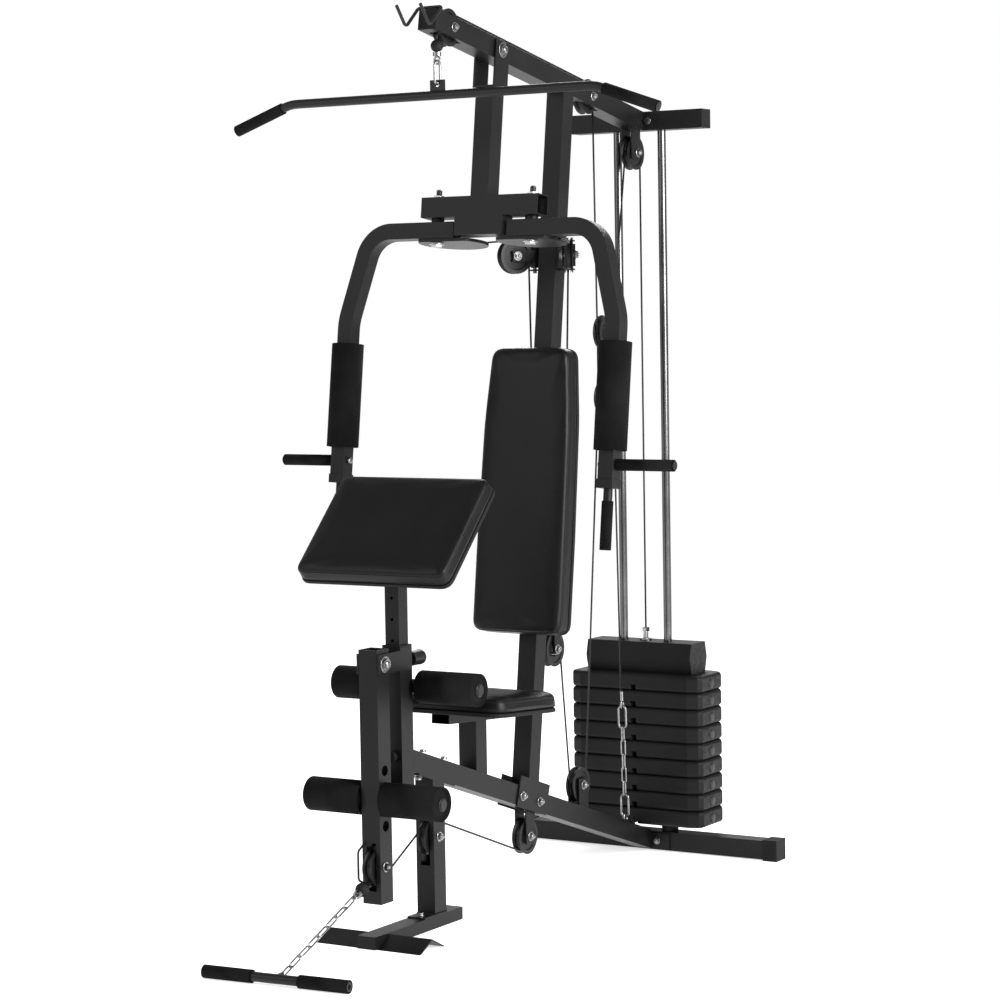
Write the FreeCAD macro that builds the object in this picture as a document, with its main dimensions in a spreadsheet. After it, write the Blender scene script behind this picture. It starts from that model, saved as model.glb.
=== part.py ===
import FreeCAD, Part
import math
import os
import Sketcher
from FreeCAD import Placement, Rotation, Vector

# Multi station home gym.
# X is across the machine, -Y is the front where the user sits, +Z is up from the floor.
# Main members: a base beam that slopes down to the rear, a front post and leg, an upright that
# leans back, a top beam that rises to the front, and a weight stack on two guide rods at the rear.

doc = FreeCAD.newDocument("home_gym")
sheet = doc.addObject("Spreadsheet::Sheet", "Sizes")

SIZES = {
    "middle": 35.0,           # the machine's datum lies this far behind the middle of its length
    "tube": 50.0,             # square tube of the frame
    "tube_wall": 2.0,
    "arm_tube": 40.0,         # square tube of the press arms
    "inner_tube": 38.0,       # square tube of the arm curl post
    "bracket_wall": 4.0,
    "lean": 7.463,            # the upright and the press frame lean back by this angle
    "upright_y": 193.1,       # where the upright's axis meets the floor
    "beam_drop": 18.196,      # slope of the base beam
    "beam_y": -321.8,
    "beam_z": 415.4,
    "top_drop": 10.647,       # slope of the top beam
    "top_z": 2119.7,
    "seat_drop": 4.0,         # slope of the seat
    "seat_y": -163.0,
    "seat_z": 478.7,
    "split_y": 150.0,         # the front and rear beams meet here, inside the saddle
    "rear_half": 385.0,       # rear base tube
    "rear_y": 874.0,
    "rear_low": 3.0,
    "cap_side": 56.0,
    "post_y": -344.0,         # front post
    "post_low": 320.0,
    "post_top": 686.0,
    "leg_y": -214.0,          # front leg
    "foot_front": -494.0,
    "foot_length": 375.0,
    "foot_height": 30.0,
    "foot_reach": 143.0,      # half width of the foot plates
    "cross_half": 195.0,      # top cross tube
    "cross_y": 880.0,
    "cross_z": 1960.0,
    "stack_y": 876.0,         # weight stack and guide rods
    "rod_x": 66.75,
    "rod_radius": 11.0,
    "rod_top": 1975.0,
    "plate_height": 45.0,
    "plate_pitch": 45.3,
    "plate_half": 198.0,
    "plate_depth": 79.0,      # half depth
    "plate_round": 10.0,
    "stack_low": 78.0,        # underside of the lowest plate
    "block_half": 158.0,      # top block of the stack
    "block_height": 82.0,
    "block_depth": 50.0,
    "pin_radius": 4.8,
    "pulley_radius": 45.0,
    "pulley_half": 11.0,      # half thickness
    "cable_turn": 40.0,       # radius of the cable's centre on a pulley
    "cable_radius": 2.5,
    "axle_radius": 5.0,
    "running_gap": 0.05,      # radial clearance of a shaft that turns in its hole
    "hinge_radius": 8.0,
    "bar_radius": 12.5,       # roller bars
    "foam_radius": 39.0,
    "sleeve_radius": 40.0,    # foam sleeves of the press arms
    "wire": 4.0,              # radius of the bar hook's wire
    "lever_y": -442.0,        # leg developer lever
    "lever_low": 100.0,
    "lever_top": 690.0,
    "seat_half": 182.0,
    "seat_length": 280.0,
    "seat_thick": 48.0,
    "back_thick": 58.0,
    "back_low": 651.0,
    "back_top": 1373.0,
    "back_half": 133.0,
    "curl_half": 202.0,       # arm curl pad
    "curl_length": 295.0,
    "curl_thick": 50.0,
    "press_y": -338.85,       # press frame, measured in the leaning frame
    "press_hinge_z": 2069.5,
    "carrier_z": 1685.3,
    "carrier_half": 166.0,
    "arm_pivot_x": 134.0,
    "arm_y": -334.0,
    "arm_z": 1630.6,
    "arm_out": 382.0,         # the hanging part of a press arm
    "arm_low": 1027.5,
    "cam_radius": 87.0,
    "grip_radius": 14.0,
    "handle_radius": 11.0,
    "lat_z": 1974.0,
    "lat_y": -124.0,
    "lat_straight": 427.0,
    "lat_reach": 591.0,
    "low_y": -877.0,          # low bar on the floor
    "low_half": 185.5,
    "link_wire": 2.0,
    "link_pitch": 37.0,
}

for row, (alias, number) in enumerate(SIZES.items(), start=1):
    sheet.set(f"A{row}", alias.replace("_", " "))
    sheet.set(f"B{row}", str(number))
    sheet.setAlias(f"B{row}", alias)
doc.recompute()


class Size:
    """A length kept both as a number and as an expression on the spreadsheet's cells."""

    def __init__(self, number, text):
        self.number = number
        self.text = text

    def __add__(self, other):
        other = as_size(other)
        return Size(self.number + other.number, f"({self.text} + {other.text})")

    def __sub__(self, other):
        other = as_size(other)
        return Size(self.number - other.number, f"({self.text} - {other.text})")

    def __mul__(self, other):
        other = as_size(other)
        return Size(self.number * other.number, f"({self.text} * {other.text})")

    def __truediv__(self, other):
        other = as_size(other)
        return Size(self.number / other.number, f"({self.text} / {other.text})")

    def __neg__(self):
        return Size(-self.number, f"(0 - {self.text})")

    def __radd__(self, other):
        return as_size(other) + self

    def __rsub__(self, other):
        return as_size(other) - self

    def __rmul__(self, other):
        return as_size(other) * self

    def __float__(self):
        return float(self.number)


def as_size(value):
    return value if isinstance(value, Size) else Size(float(value), f"{float(value):.4f}")


def cell(alias):
    return Size(float(sheet.get(alias)), f"Sizes.{alias}")


NODES = {}


def new(kind, name):
    return doc.addObject(kind, name)


def bind(item, **lengths):
    for name, length in lengths.items():
        length = as_size(length)
        setattr(item, name, length.number)
        item.setExpression(name, length.text)


# Frames: the level one, and one for each member that slopes or leans.
def framed(y, z, angle):
    shift = Vector(0, float(y) - float(cell("middle")), float(z))
    return Placement(shift, Rotation(Vector(1, 0, 0), float(angle)))


LEVEL = framed(0, 0, 0)
BEAM = framed(cell("beam_y"), cell("beam_z"), -cell("beam_drop"))
TOP = framed(0, cell("top_z"), -cell("top_drop"))
LEAN = framed(cell("upright_y"), 0, -cell("lean"))
SEAT = framed(cell("seat_y"), cell("seat_z"), -cell("seat_drop"))


def place(item, x, y, z, frame=LEVEL, turn=Rotation()):
    """Put an item's own origin at x, y, z of a frame."""
    x, y, z = as_size(x), as_size(y), as_size(z)
    item.Placement = frame.multiply(Placement(Vector(x.number, y.number, z.number), turn))
    if frame is LEVEL:
        item.setExpression("Placement.Base.x", x.text)
        item.setExpression("Placement.Base.y", (y - cell("middle")).text)
        item.setExpression("Placement.Base.z", z.text)
    return item


ALONG = {
    "x": Rotation(Vector(0, 1, 0), 90),
    "y": Rotation(Vector(1, 0, 0), -90),
    "z": Rotation(),
}


def box(x, y, z, frame=LEVEL):
    """A box between the limits x, y and z, each a pair."""
    item = new("Part::Box", "block")
    lows = [as_size(pair[0]) for pair in (x, y, z)]
    highs = [as_size(pair[1]) for pair in (x, y, z)]
    spans = [high - low for low, high in zip(lows, highs)]
    bind(item, Length=spans[0], Width=spans[1], Height=spans[2])
    return place(item, *lows, frame=frame)


def rod(radius, length, x, y, z, along="z", frame=LEVEL, turn=None):
    item = new("Part::Cylinder", "rod")
    bind(item, Radius=radius, Height=length)
    return place(item, x, y, z, frame, turn or ALONG[along])


def ball(radius, x, y, z, frame=LEVEL):
    item = new("Part::Sphere", "ball")
    bind(item, Radius=radius)
    return place(item, x, y, z, frame)


def hexagon(radius, length, x, y, z, along="z", frame=LEVEL):
    item = new("Part::Prism", "hexagon")
    item.Polygon = 6
    bind(item, Circumradius=radius, Height=length)
    return place(item, x, y, z, frame, ALONG[along])


def fuse(*parts):
    item = new("Part::MultiFuse", "weld")
    item.Shapes = list(parts)
    return item


def cut(base, *tools):
    item = new("Part::Cut", "cut")
    item.Base = base
    item.Tool = tools[0] if len(tools) == 1 else fuse(*tools)
    return item


def group(*parts):
    item = new("Part::Compound", "group")
    item.Links = list(parts)
    return item


def node(label, item):
    item.Label = label
    NODES[label] = item
    return item


def shaped(shape, frame=LEVEL):
    """A feature for a shape that no primitive or sketch gives."""
    item = new("Part::Feature", "shaped")
    item.Shape = shape
    item.Placement = frame
    return item


def square_tube(x, y, z, hollow, frame=LEVEL):
    """A square tube: an outer box less an inner one that runs out of both ends along the axis."""
    wall = cell("tube_wall")
    limits = {"x": x, "y": y, "z": z}
    inner = {}
    for axis, (low, high) in limits.items():
        inner[axis] = (low - 1, high + 1) if axis == hollow else (low + wall, high - wall)
    return cut(box(x, y, z, frame), box(inner["x"], inner["y"], inner["z"], frame))


# Sketches
def origin_plane(body, role):
    return next(plane for plane in body.Origin.OriginFeatures if plane.Role == role)


def outline(body, role, points):
    """A closed sketch of straight lines on one of the body's own planes, held by its corners."""
    sketch = body.newObject("Sketcher::SketchObject", "outline")
    sketch.AttachmentSupport = [(origin_plane(body, role), "")]
    sketch.MapMode = "FlatFace"
    corners = [(as_size(x), as_size(y)) for x, y in points]
    flat = [Vector(x.number, y.number, 0) for x, y in corners]
    for here, there in zip(flat, flat[1:] + flat[:1]):
        sketch.addGeometry(Part.LineSegment(here, there), False)
    for index in range(len(corners)):
        after = (index + 1) % len(corners)
        sketch.addConstraint(Sketcher.Constraint("Coincident", index, 2, after, 1))
    for index, (x, y) in enumerate(corners):
        for kind, length in (("DistanceX", x), ("DistanceY", y)):
            held = sketch.addConstraint(Sketcher.Constraint(kind, -1, 1, index, 1, length.number))
            sketch.setExpression(f"Constraints[{held}]", length.text)
    return sketch


def padded(role, points, thickness, middle=False):
    body = new("PartDesign::Body", "body")
    sketch = outline(body, role, points)
    pad = body.newObject("PartDesign::Pad", "pad")
    pad.Profile = sketch
    pad.Midplane = middle
    bind(pad, Length=thickness)
    doc.recompute()
    return body, pad


def soften(body, pad, radius, wanted):
    """Round the edges of a pad that a test picks."""
    names = [f"Edge{index}" for index, edge in enumerate(pad.Shape.Edges, start=1) if wanted(edge)]
    fillet = body.newObject("PartDesign::Fillet", "fillet")
    fillet.Base = (pad, names)
    bind(fillet, Radius=radius)
    body.Tip = fillet
    doc.recompute()
    return fillet


def spun(points):
    """A body turned about its own X axis from a profile of (along, radius) points."""
    body = new("PartDesign::Body", "body")
    sketch = outline(body, "XY_Plane", points)
    turned = body.newObject("PartDesign::Revolution", "turned")
    turned.Profile = sketch
    turned.ReferenceAxis = (sketch, ["H_Axis"])
    turned.Angle = 360
    body.Tip = turned
    doc.recompute()
    return body


# Bent wires, tubes and cables
def bent_path(points, radii):
    """Straight runs through the points, joined by tangent arcs of the given radii."""
    vectors = [Vector(*(float(part) for part in point)) for point in points]
    edges = []
    start = vectors[0]
    for corner, after, radius in zip(vectors[1:-1], vectors[2:], radii):
        inward = (corner - start).normalize()
        outward = (after - corner).normalize()
        turn = inward.getAngle(outward)
        reach = radius * math.tan(turn / 2)
        entry = corner - inward * reach
        leave = corner + outward * reach
        towards = (outward - inward).normalize()
        middle = corner + towards * (radius / math.cos(turn / 2) - radius)
        edges.append(Part.LineSegment(start, entry).toShape())
        edges.append(Part.Arc(entry, middle, leave).toShape())
        start = leave
    edges.append(Part.LineSegment(start, vectors[-1]).toShape())
    return Part.Wire(edges)


def belt_path(stops):
    """A path in the YZ plane round pulleys: each stop is y, z, radius and the way it turns,
    +1 for anticlockwise seen with Y to the right, -1 for clockwise. The ends have radius 0."""
    leaves = []
    for (y0, z0, r0, way0), (y1, z1, r1, way1) in zip(stops, stops[1:]):
        dy, dz = y1 - y0, z1 - z0
        angle = math.atan2(dz, dy) - math.asin((way1 * r1 - way0 * r0) / math.hypot(dy, dz))
        side = Vector(0, -math.sin(angle), math.cos(angle))
        first = Vector(0, y0, z0) - side * (way0 * r0)
        second = Vector(0, y1, z1) - side * (way1 * r1)
        leaves.append((first, second))
    edges = []
    for index, (first, second) in enumerate(leaves):
        edges.append(Part.LineSegment(first, second).toShape())
        if index + 1 == len(leaves):
            break
        y, z, radius, way = stops[index + 1]
        centre = Vector(0, y, z)
        after = leaves[index + 1][0]
        begin = math.atan2(second.z - z, second.y - y)
        finish = math.atan2(after.z - z, after.y - y)
        sweep = (finish - begin) % math.tau if way > 0 else -((begin - finish) % math.tau)
        half = begin + sweep / 2
        middle = centre + Vector(0, math.cos(half), math.sin(half)) * radius
        edges.append(Part.Arc(second, middle, after).toShape())
    return Part.Wire(edges)


def along_path(path, profile):
    start = path.Edges[0].Vertexes[0].Point
    heading = path.Edges[0].tangentAt(path.Edges[0].FirstParameter)
    if profile == "square":
        half = float(cell("arm_tube")) / 2
        corners = [(-half, -half), (half, -half), (half, half), (-half, half)]
        wire = Part.makePolygon([Vector(0, u, v) + start for u, v in corners + corners[:1]])
    else:
        wire = Part.Wire(Part.Circle(start, heading, profile).toShape())
    solid = path.makePipeShell([wire], True, False)
    return solid


def cable(name, path):
    radius = float(cell("cable_radius"))
    solid = along_path(path, radius)
    wanted = math.pi * radius ** 2 * path.Length
    radii = sorted({round(edge.Curve.Radius, 1) for edge in path.Edges if hasattr(edge.Curve, "Radius")})
    print(f"{name}: length {path.Length:.0f}, volume {solid.Volume:.0f} against {wanted:.0f}, radii {radii}")
    return solid


def link_ring(centre, along, across, length, width, wire):
    """A chain link or a carabiner: a round wire bent to a stadium."""
    along = Vector(*along).normalize()
    across = Vector(*across).normalize()
    centre = Vector(*centre)
    bend = width / 2 - wire
    straight = length / 2 - wire - bend
    left, right = centre - across * bend, centre + across * bend
    top, bottom = centre + along * straight, centre - along * straight
    a, b = left - along * straight, left + along * straight
    c, d = right + along * straight, right - along * straight
    edges = [
        Part.LineSegment(a, b).toShape(),
        Part.Arc(b, top + along * bend, c).toShape(),
        Part.LineSegment(c, d).toShape(),
        Part.Arc(d, bottom - along * bend, a).toShape(),
    ]
    return along_path(Part.Wire(edges), wire)


def chain(start, finish, count, wire):
    """Links from start to finish, each turned a quarter against the next; the first stands upright."""
    start, finish = Vector(*start), Vector(*finish)
    step = (finish - start) / count
    heading = Vector(step).normalize()
    across = Vector(1, 0, 0)
    upright = heading.cross(across)
    length = step.Length + 4 * wire + 0.6
    links = []
    for index in range(count):
        centre = start + step * (index + 0.5)
        side = upright if index % 2 == 0 else across
        links.append(link_ring(centre, heading, side, length, 8 * wire, wire))
    return links


# Fasteners: a shank, a head at the start and a nut at the end, along one axis
def bolt(radius, x, y, z, length, along="x", frame=LEVEL, head=7.0):
    """A hexagon bolt whose grip starts at x, y, z and runs the given length."""
    start = {"x": x, "y": y, "z": z}
    before, after = dict(start), dict(start)
    before[along] = start[along] - head
    after[along] = start[along] + length
    shank = rod(radius, length, x, y, z, along, frame)
    cap = hexagon(1.9 * radius, head, before["x"], before["y"], before["z"], along, frame)
    nut = hexagon(1.8 * radius, head, after["x"], after["y"], after["z"], along, frame)
    return fuse(shank, cap, nut)


def bore(radius, x, y, z, length, along="x", frame=LEVEL):
    """The hole for a shank, a little longer than its grip at both ends."""
    start = {"x": as_size(x), "y": as_size(y), "z": as_size(z)}
    start[along] = start[along] - 5
    return rod(radius + cell("running_gap"), as_size(length) + 10, start["x"], start["y"], start["z"],
               along, frame)


tube = cell("tube")
half = tube / 2
wall = cell("tube_wall")
plate = cell("bracket_wall")
axle = cell("axle_radius")
hinge = cell("hinge_radius")
gap = cell("running_gap")
BRACKET_IN = cell("pulley_half") + 2
BRACKET_OUT = BRACKET_IN + plate

# Pulley centres: y, z. Those of the two swivels and the crosswise one come later.
PULLEYS = {
    "pulley_front_top": (-84.0, 2135.5),
    "pulley_rear_top": (582.0, 2010.3),
    "pulley_stack": (836.0, 1876.0),
    "pulley_float_upper": (671.0, 1402.0),
    "pulley_float_lower": (671.0, 1230.0),
    "pulley_hanger_lower": (371.0, 600.0),
    "pulley_base": (495.0, 232.0),
    "pulley_under": (222.0, 143.0),
    "pulley_leg": (-214.0, 217.0),
    "pulley_lever": (-445.0, 185.0),
}
HANGER = (371.0, 800.0)       # the crosswise pulley of the hanging bracket
SWIVEL_X, SWIVEL_Y, SWIVEL_Z = 50.0, 400.0, 1600.0
SWIVEL_REACH = 58.0
GROOVE_HALF, GROOVE_PLAY = 3.8, 1.0

# The cams of the press arms; each swivel points along the cable that leaves the cam's outer rim
CAM_X, CAM_BEHIND, CAM_THICK = 112.0, 42.0, 8.0
cam_spot = LEAN.multVec(Vector(CAM_X, float(cell("arm_y")) + CAM_BEHIND,
                               float(cell("arm_z") - cell("arm_tube") / 2) - CAM_THICK / 2))
cam_y, cam_z = cam_spot.y + float(cell("middle")), cam_spot.z
rim = float(cell("cam_radius") + cell("cable_radius")) + 0.3
cam_away = math.hypot(CAM_X - SWIVEL_X, SWIVEL_Y - cam_y)
swing = math.atan2(CAM_X - SWIVEL_X, SWIVEL_Y - cam_y) + math.asin(rim / cam_away)
SWIVEL_TURN = math.degrees(swing)


def pulley(name, x, y, z, turn=0.0):
    """A plain grooved pulley with a recessed web on both faces."""
    thick, outer, hole = cell("pulley_half"), cell("pulley_radius"), axle + gap
    groove = cell("cable_turn") - cell("cable_radius") - GROOVE_PLAY
    right = [(thick, hole), (thick, 14), (thick - 3, 16), (thick - 3, outer - 12), (thick, outer - 10),
             (thick, outer), (thick - 2.5, outer), (GROOVE_HALF, groove)]
    left = [(-along, radius) for along, radius in reversed(right)]
    body = spun(right + left)
    place(body, x, y, z, LEVEL, Rotation(Vector(0, 0, 1), turn))
    node(name, body)


for name, (y, z) in PULLEYS.items():
    pulley(name, 0, y, z)
pulley("pulley_hanger_upper", 0, *HANGER, turn=90)
for side, name in ((-1, "pulley_left_swivel"), (1, "pulley_right_swivel")):
    angle = math.radians(SWIVEL_TURN)
    pulley(name, side * (SWIVEL_X + SWIVEL_REACH * math.sin(angle)),
           SWIVEL_Y - SWIVEL_REACH * math.cos(angle), SWIVEL_Z, side * SWIVEL_TURN)


def heading_to(y, z, name, way):
    """The direction of a cable that leaves a point and runs onto a pulley."""
    pulley_y, pulley_z = PULLEYS[name]
    distance = math.hypot(pulley_y - y, pulley_z - z)
    angle = math.atan2(pulley_z - z, pulley_y - y) - math.asin(way * float(cell("cable_turn")) / distance)
    return Vector(0, math.cos(angle), math.sin(angle))


def pulley_bore(name):
    y, z = PULLEYS[name]
    return bore(axle, -half, y, z, tube)


def pulley_slot(name, low, high):
    """The opening in an upright square tube that a pulley passes through."""
    y = PULLEYS[name][0]
    return box((-BRACKET_IN, BRACKET_IN), (y - 50, y + 50), (low, high))


# Rear base tube and the beams of the base
rear_y, rear_low = cell("rear_y"), cell("rear_low")
rear_front = rear_y - half
FLANGE_BOLT_X = 42.0
rod_holes = [rod(cell("rod_radius") + gap, 60, side * cell("rod_x"), cell("stack_y"), rear_low + wall)
             for side in (-1, 1)]
flange_bolts = [bore(4, side * FLANGE_BOLT_X, rear_front - plate, 28, tube + plate, "y") for side in (-1, 1)]
node("rear_base_tube", cut(
    square_tube((-cell("rear_half"), cell("rear_half")), (rear_front, rear_front + tube),
                (rear_low, rear_low + tube), "x"), *rod_holes, *flange_bolts))


def beam_at(y):
    """How far along the base beam the level position y lies."""
    return (as_size(y) - cell("beam_y")) / math.cos(math.radians(float(cell("beam_drop"))))


leg_bolt_spots = (-252.0, -160.0)
leg_bolt_bores = [bore(4, 0, beam_at(y), -half - plate, tube + plate, "z", BEAM) for y in leg_bolt_spots]
saddle_spots = (168.0, 250.0)
saddle_bores = [bore(5, -half - plate, beam_at(y), 0, tube + 2 * plate, "x", BEAM) for y in saddle_spots]
front_clear = box((-60, 60), (-500, -319), (250, 600))
node("front_beam", cut(
    square_tube((-half, half), (beam_at(-330), beam_at(cell("split_y"))), (-half, half), "y", BEAM),
    front_clear, *leg_bolt_bores))

rear_clear = box((-60, 60), (rear_front - plate, rear_front + 200), (-200, 250))
strand_slot = box((-6, 6), (258, 296), (120, 300))
eye_bore = bore(4, 0, beam_at(739), -half, tube, "z", BEAM)
rear_tube = cut(
    square_tube((-half, half), (beam_at(cell("split_y")), beam_at(900)), (-half, half), "y", BEAM),
    rear_clear, strand_slot)
rear_flange = box((-80, 80), (rear_front - plate, rear_front), (6, 49))
base_y, base_z = PULLEYS["pulley_base"]
under_y, under_z = PULLEYS["pulley_under"]
base_cheeks = []
for side in (-1, 1):
    limits = sorted((side * float(BRACKET_IN), side * float(BRACKET_OUT)))
    base_cheeks.append(box(limits, (base_y - 24, base_y + 24), (140, base_z + 18)))
    base_cheeks.append(box(limits, (under_y - 20, under_y + 20), (under_z - 18, 240)))
solid_rear = box((-half, half), (beam_at(cell("split_y")), beam_at(900)), (-half, half), BEAM)
cheeks_outside = cut(fuse(*base_cheeks), solid_rear)
node("rear_beam", cut(fuse(rear_tube, rear_flange, cheeks_outside),
                      bore(axle, -half, base_y, base_z, tube), bore(axle, -half, under_y, under_z, tube),
                      eye_bore, *flange_bolts, *saddle_bores))

# Front post with the fork of the leg developer, the roller sleeve and the pop pin's barrel
post_y, post_low, post_top = cell("post_y"), cell("post_low"), cell("post_top")
post_front, post_rear = post_y - half, post_y + half
fork = [box(limits, (-467, post_front - 3), (633, 680)) for limits in ((26, 31), (-31, -26))]
fork_web = box((-31, 31), (post_front - 3, post_front), (633, 680))
LEVER_HINGE = (-441.0, 656.0)
ROLLER = (-298.0, 587.0)
roller_sleeve = rod(17, 60, -30, *ROLLER, along="x")
roller_lug = box((-half, half), (post_rear, ROLLER[0]), (ROLLER[1] - 12, ROLLER[1] + 12))
PIN_Z = 650.0
pin_barrel = rod(9, 27, 0, post_rear, PIN_Z, "y")
post_shell = square_tube((-half, half), (post_front, post_rear), (post_low, post_top), "z")
node("front_post", cut(
    fuse(post_shell, *fork, fork_web, roller_sleeve, roller_lug, pin_barrel),
    bore(hinge, -31, *LEVER_HINGE, 62), bore(cell("bar_radius"), -30, *ROLLER, 60),
    rod(4.3, 60, 0, post_rear - 5, PIN_Z, "y")))

# Front leg: bolted under the beam and on the foot
leg_y = cell("leg_y")
foot_height = cell("foot_height")
leg_shell = square_tube((-half, half), (leg_y - half, leg_y + half), (foot_height, 400), "z")
leg_pulley = pulley_slot("pulley_leg", 150, 282)
above_leg = box((-60, 60), (beam_at(-400), beam_at(0)), (-half - plate, 200), BEAM)
leg_flange = box((-half, half), (beam_at(-288), beam_at(-134)), (-half - plate, -half), BEAM)
foot_flange = box((-half, half), (-284, -189), (foot_height, foot_height + plate))
leg_y0, leg_z0 = PULLEYS["pulley_leg"]
node("front_leg", cut(
    fuse(cut(leg_shell, above_leg, leg_pulley), leg_flange, foot_flange),
    bore(axle, -half, leg_y0, leg_z0, tube), bore(4, 0, -264, 0, foot_height + plate, "z"),
    *[bore(4, 0, beam_at(y), -half - plate, tube, "z", BEAM) for y in leg_bolt_spots]))

# Front foot: a flat tube with a bent plate on each side
foot_front = cell("foot_front")
foot_rear = foot_front + cell("foot_length")
RIDGE = [(-490, 0), (-484, 0), (-437, 23), (-388, 0), (-382, 0), (-437, 27)]
wings = []
for side in (-1, 1):
    wing, _ = padded("YZ_Plane", RIDGE, cell("foot_reach") - half + 1)
    start = half - 1 if side > 0 else -cell("foot_reach")
    wings.append(place(wing, start, 0, 0))
foot_tube = square_tube((-half, half), (foot_front, foot_rear), (0, foot_height), "y")
node("front_foot", cut(fuse(foot_tube, *wings), bore(4, 0, -264, 0, foot_height + plate, "z")))

# Upright with its saddle, the back pad's brackets and the ears of the two swivels
saddle = []
for limits in ((half, half + plate), (-half - plate, -half)):
    saddle.append(box(limits, (beam_at(148), beam_at(287)), (-half - 4, half + 24), BEAM))
upright_tube = square_tube((-half, half), (-half, half), (240, 2100), "z", LEAN)
below_foot = box((-100, 100), (beam_at(100), beam_at(400)), (-400, half), BEAM)
above_head = box((-100, 100), (300, 700), (-half, 300), TOP)
pad_brackets = [box((-40, 40), (-37, -half), (z, z + 40), LEAN) for z in (800, 1200)]
ears = []
for side in (-1, 1):
    limits = sorted((side * 24.0, side * 62.0))
    for z in (SWIVEL_Z + 34, SWIVEL_Z - 38):
        ears.append(box(limits, (SWIVEL_Y - 11, SWIVEL_Y + 11), (z, z + 4)))
upright_inner = box((-half + wall, half - wall), (-half + wall, half - wall), (200, 2150), LEAN)
swivel_bores = [rod(axle + gap, 90, side * SWIVEL_X, SWIVEL_Y, SWIVEL_Z - 45) for side in (-1, 1)]
node("upright", cut(
    fuse(cut(upright_tube, below_foot, above_head), *saddle, *pad_brackets, cut(fuse(*ears), upright_inner)),
    *swivel_bores, *saddle_bores))

# Top beam with the bracket of the stack's pulley
hinge_spot = LEAN.multVec(Vector(0, float(cell("press_y")), float(cell("press_hinge_z"))))
PRESS_HINGE = (hinge_spot.y + float(cell("middle")), hinge_spot.z)
top_front = -163.8


def top_at(y):
    """How far along the top beam the level position y lies."""
    return as_size(y) / math.cos(math.radians(float(cell("top_drop"))))


cross_front = cell("cross_y") - half
behind_top = box((-60, 60), (cross_front - plate, cross_front + 100), (1850, 2100))
top_tube = cut(square_tube((-half, half), (top_front, top_at(900)), (-half, half), "y", TOP), behind_top)
stack_y0, stack_z0 = PULLEYS["pulley_stack"]
stack_cheeks = []
for side in (-1, 1):
    limits = sorted((side * float(BRACKET_IN), side * float(BRACKET_OUT)))
    stack_cheeks.append(box(limits, (stack_y0 - 34, stack_y0 + 13), (stack_z0 - 16, 1960)))
top_solid = box((-half, half), (top_front, top_at(900)), (-half, half), TOP)
top_slots = [box((-BRACKET_IN, BRACKET_IN), (top_at(y) - 52, top_at(y) + 52), (-60, 60), TOP)
             for y in (PULLEYS["pulley_front_top"][0], PULLEYS["pulley_rear_top"][0])]
node("top_beam", cut(
    fuse(cut(top_tube, *top_slots), cut(fuse(*stack_cheeks), top_solid)),
    pulley_bore("pulley_front_top"), pulley_bore("pulley_rear_top"), pulley_bore("pulley_stack"),
    bore(hinge, -31, *PRESS_HINGE, 62)))

# Top cross tube, bolted to the beam's end and holding the guide rods
cross_z, cross_half = cell("cross_z"), cell("cross_half")
cross_tube = square_tube((-cross_half, cross_half), (cross_front, cross_front + tube),
                         (cross_z - half, cross_z + half), "x")
cross_flange = box((-51, 51), (cross_front - plate, cross_front), (cross_z - 24, cross_z + 23))
top_rod_holes = [rod(cell("rod_radius") + gap, 45, side * cell("rod_x"), cell("stack_y"), cross_z - half - 5)
                 for side in (-1, 1)]
cross_bores = [bore(4, side * 38, cross_front - plate, cross_z, tube + plate, "y") for side in (-1, 1)]
node("top_cross_tube", cut(fuse(cross_tube, cross_flange), *top_rod_holes, *cross_bores))

node("guide_rods", group(*[
    rod(cell("rod_radius"), cell("rod_top") - rear_low - wall, side * cell("rod_x"), cell("stack_y"),
        rear_low + wall) for side in (-1, 1)]))

# Rubber caps, end plugs, bumpers and the bushing of the arm curl post
cap_side = cell("cap_side")
rubber = []
for side in (-1, 1):
    outer = sorted((side * 357.0, side * 398.0))
    inner = sorted((side * 350.0, side * float(cell("rear_half"))))
    cap = box(outer, (rear_y - cap_side / 2, rear_y + cap_side / 2), (0, cap_side))
    socket = box(inner, (rear_front, rear_front + tube), (rear_low, rear_low + tube))
    rubber.append(cut(cap, socket))
for side in (-1, 1):
    limits = sorted((side * float(cross_half), side * float(cross_half + 3)))
    rubber.append(box(limits, (cross_front, cross_front + tube), (cross_z - half, cross_z + half)))
rubber.append(box((-half, half), (top_front - 3, top_front), (-half, half), TOP))
rubber.append(box((-half, half), (foot_front - 3, foot_front), (0.5, foot_height)))
rubber.append(box((-half, half), (foot_rear, foot_rear + 3), (0.5, foot_height)))
for side in (-1, 1):
    spot = (side * cell("rod_x"), cell("stack_y"))
    ring = rod(22.5, cell("stack_low") - 53, *spot, 53)
    rubber.append(cut(ring, rod(cell("rod_radius") + 0.1, 60, *spot, 40)))
rubber.append(rod(12.5, 12, 0, post_front - 12, 430, "y"))
inner_half = cell("inner_tube") / 2
collar = fuse(box((-half, half), (post_front, post_rear), (post_top, post_top + 4)),
              box((-half + wall, half - wall), (post_front + wall, post_rear - wall), (post_top - 50, post_top)))
collar_hole = box((-inner_half - 0.4, inner_half + 0.4), (post_y - inner_half - 0.4, post_y + inner_half + 0.4),
                  (post_top - 60, post_top + 10))
rubber.append(cut(collar, collar_hole, rod(4.3, 40, 0, post_rear - 20, PIN_Z, "y")))
node("caps_and_bumpers", group(*rubber))

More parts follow.
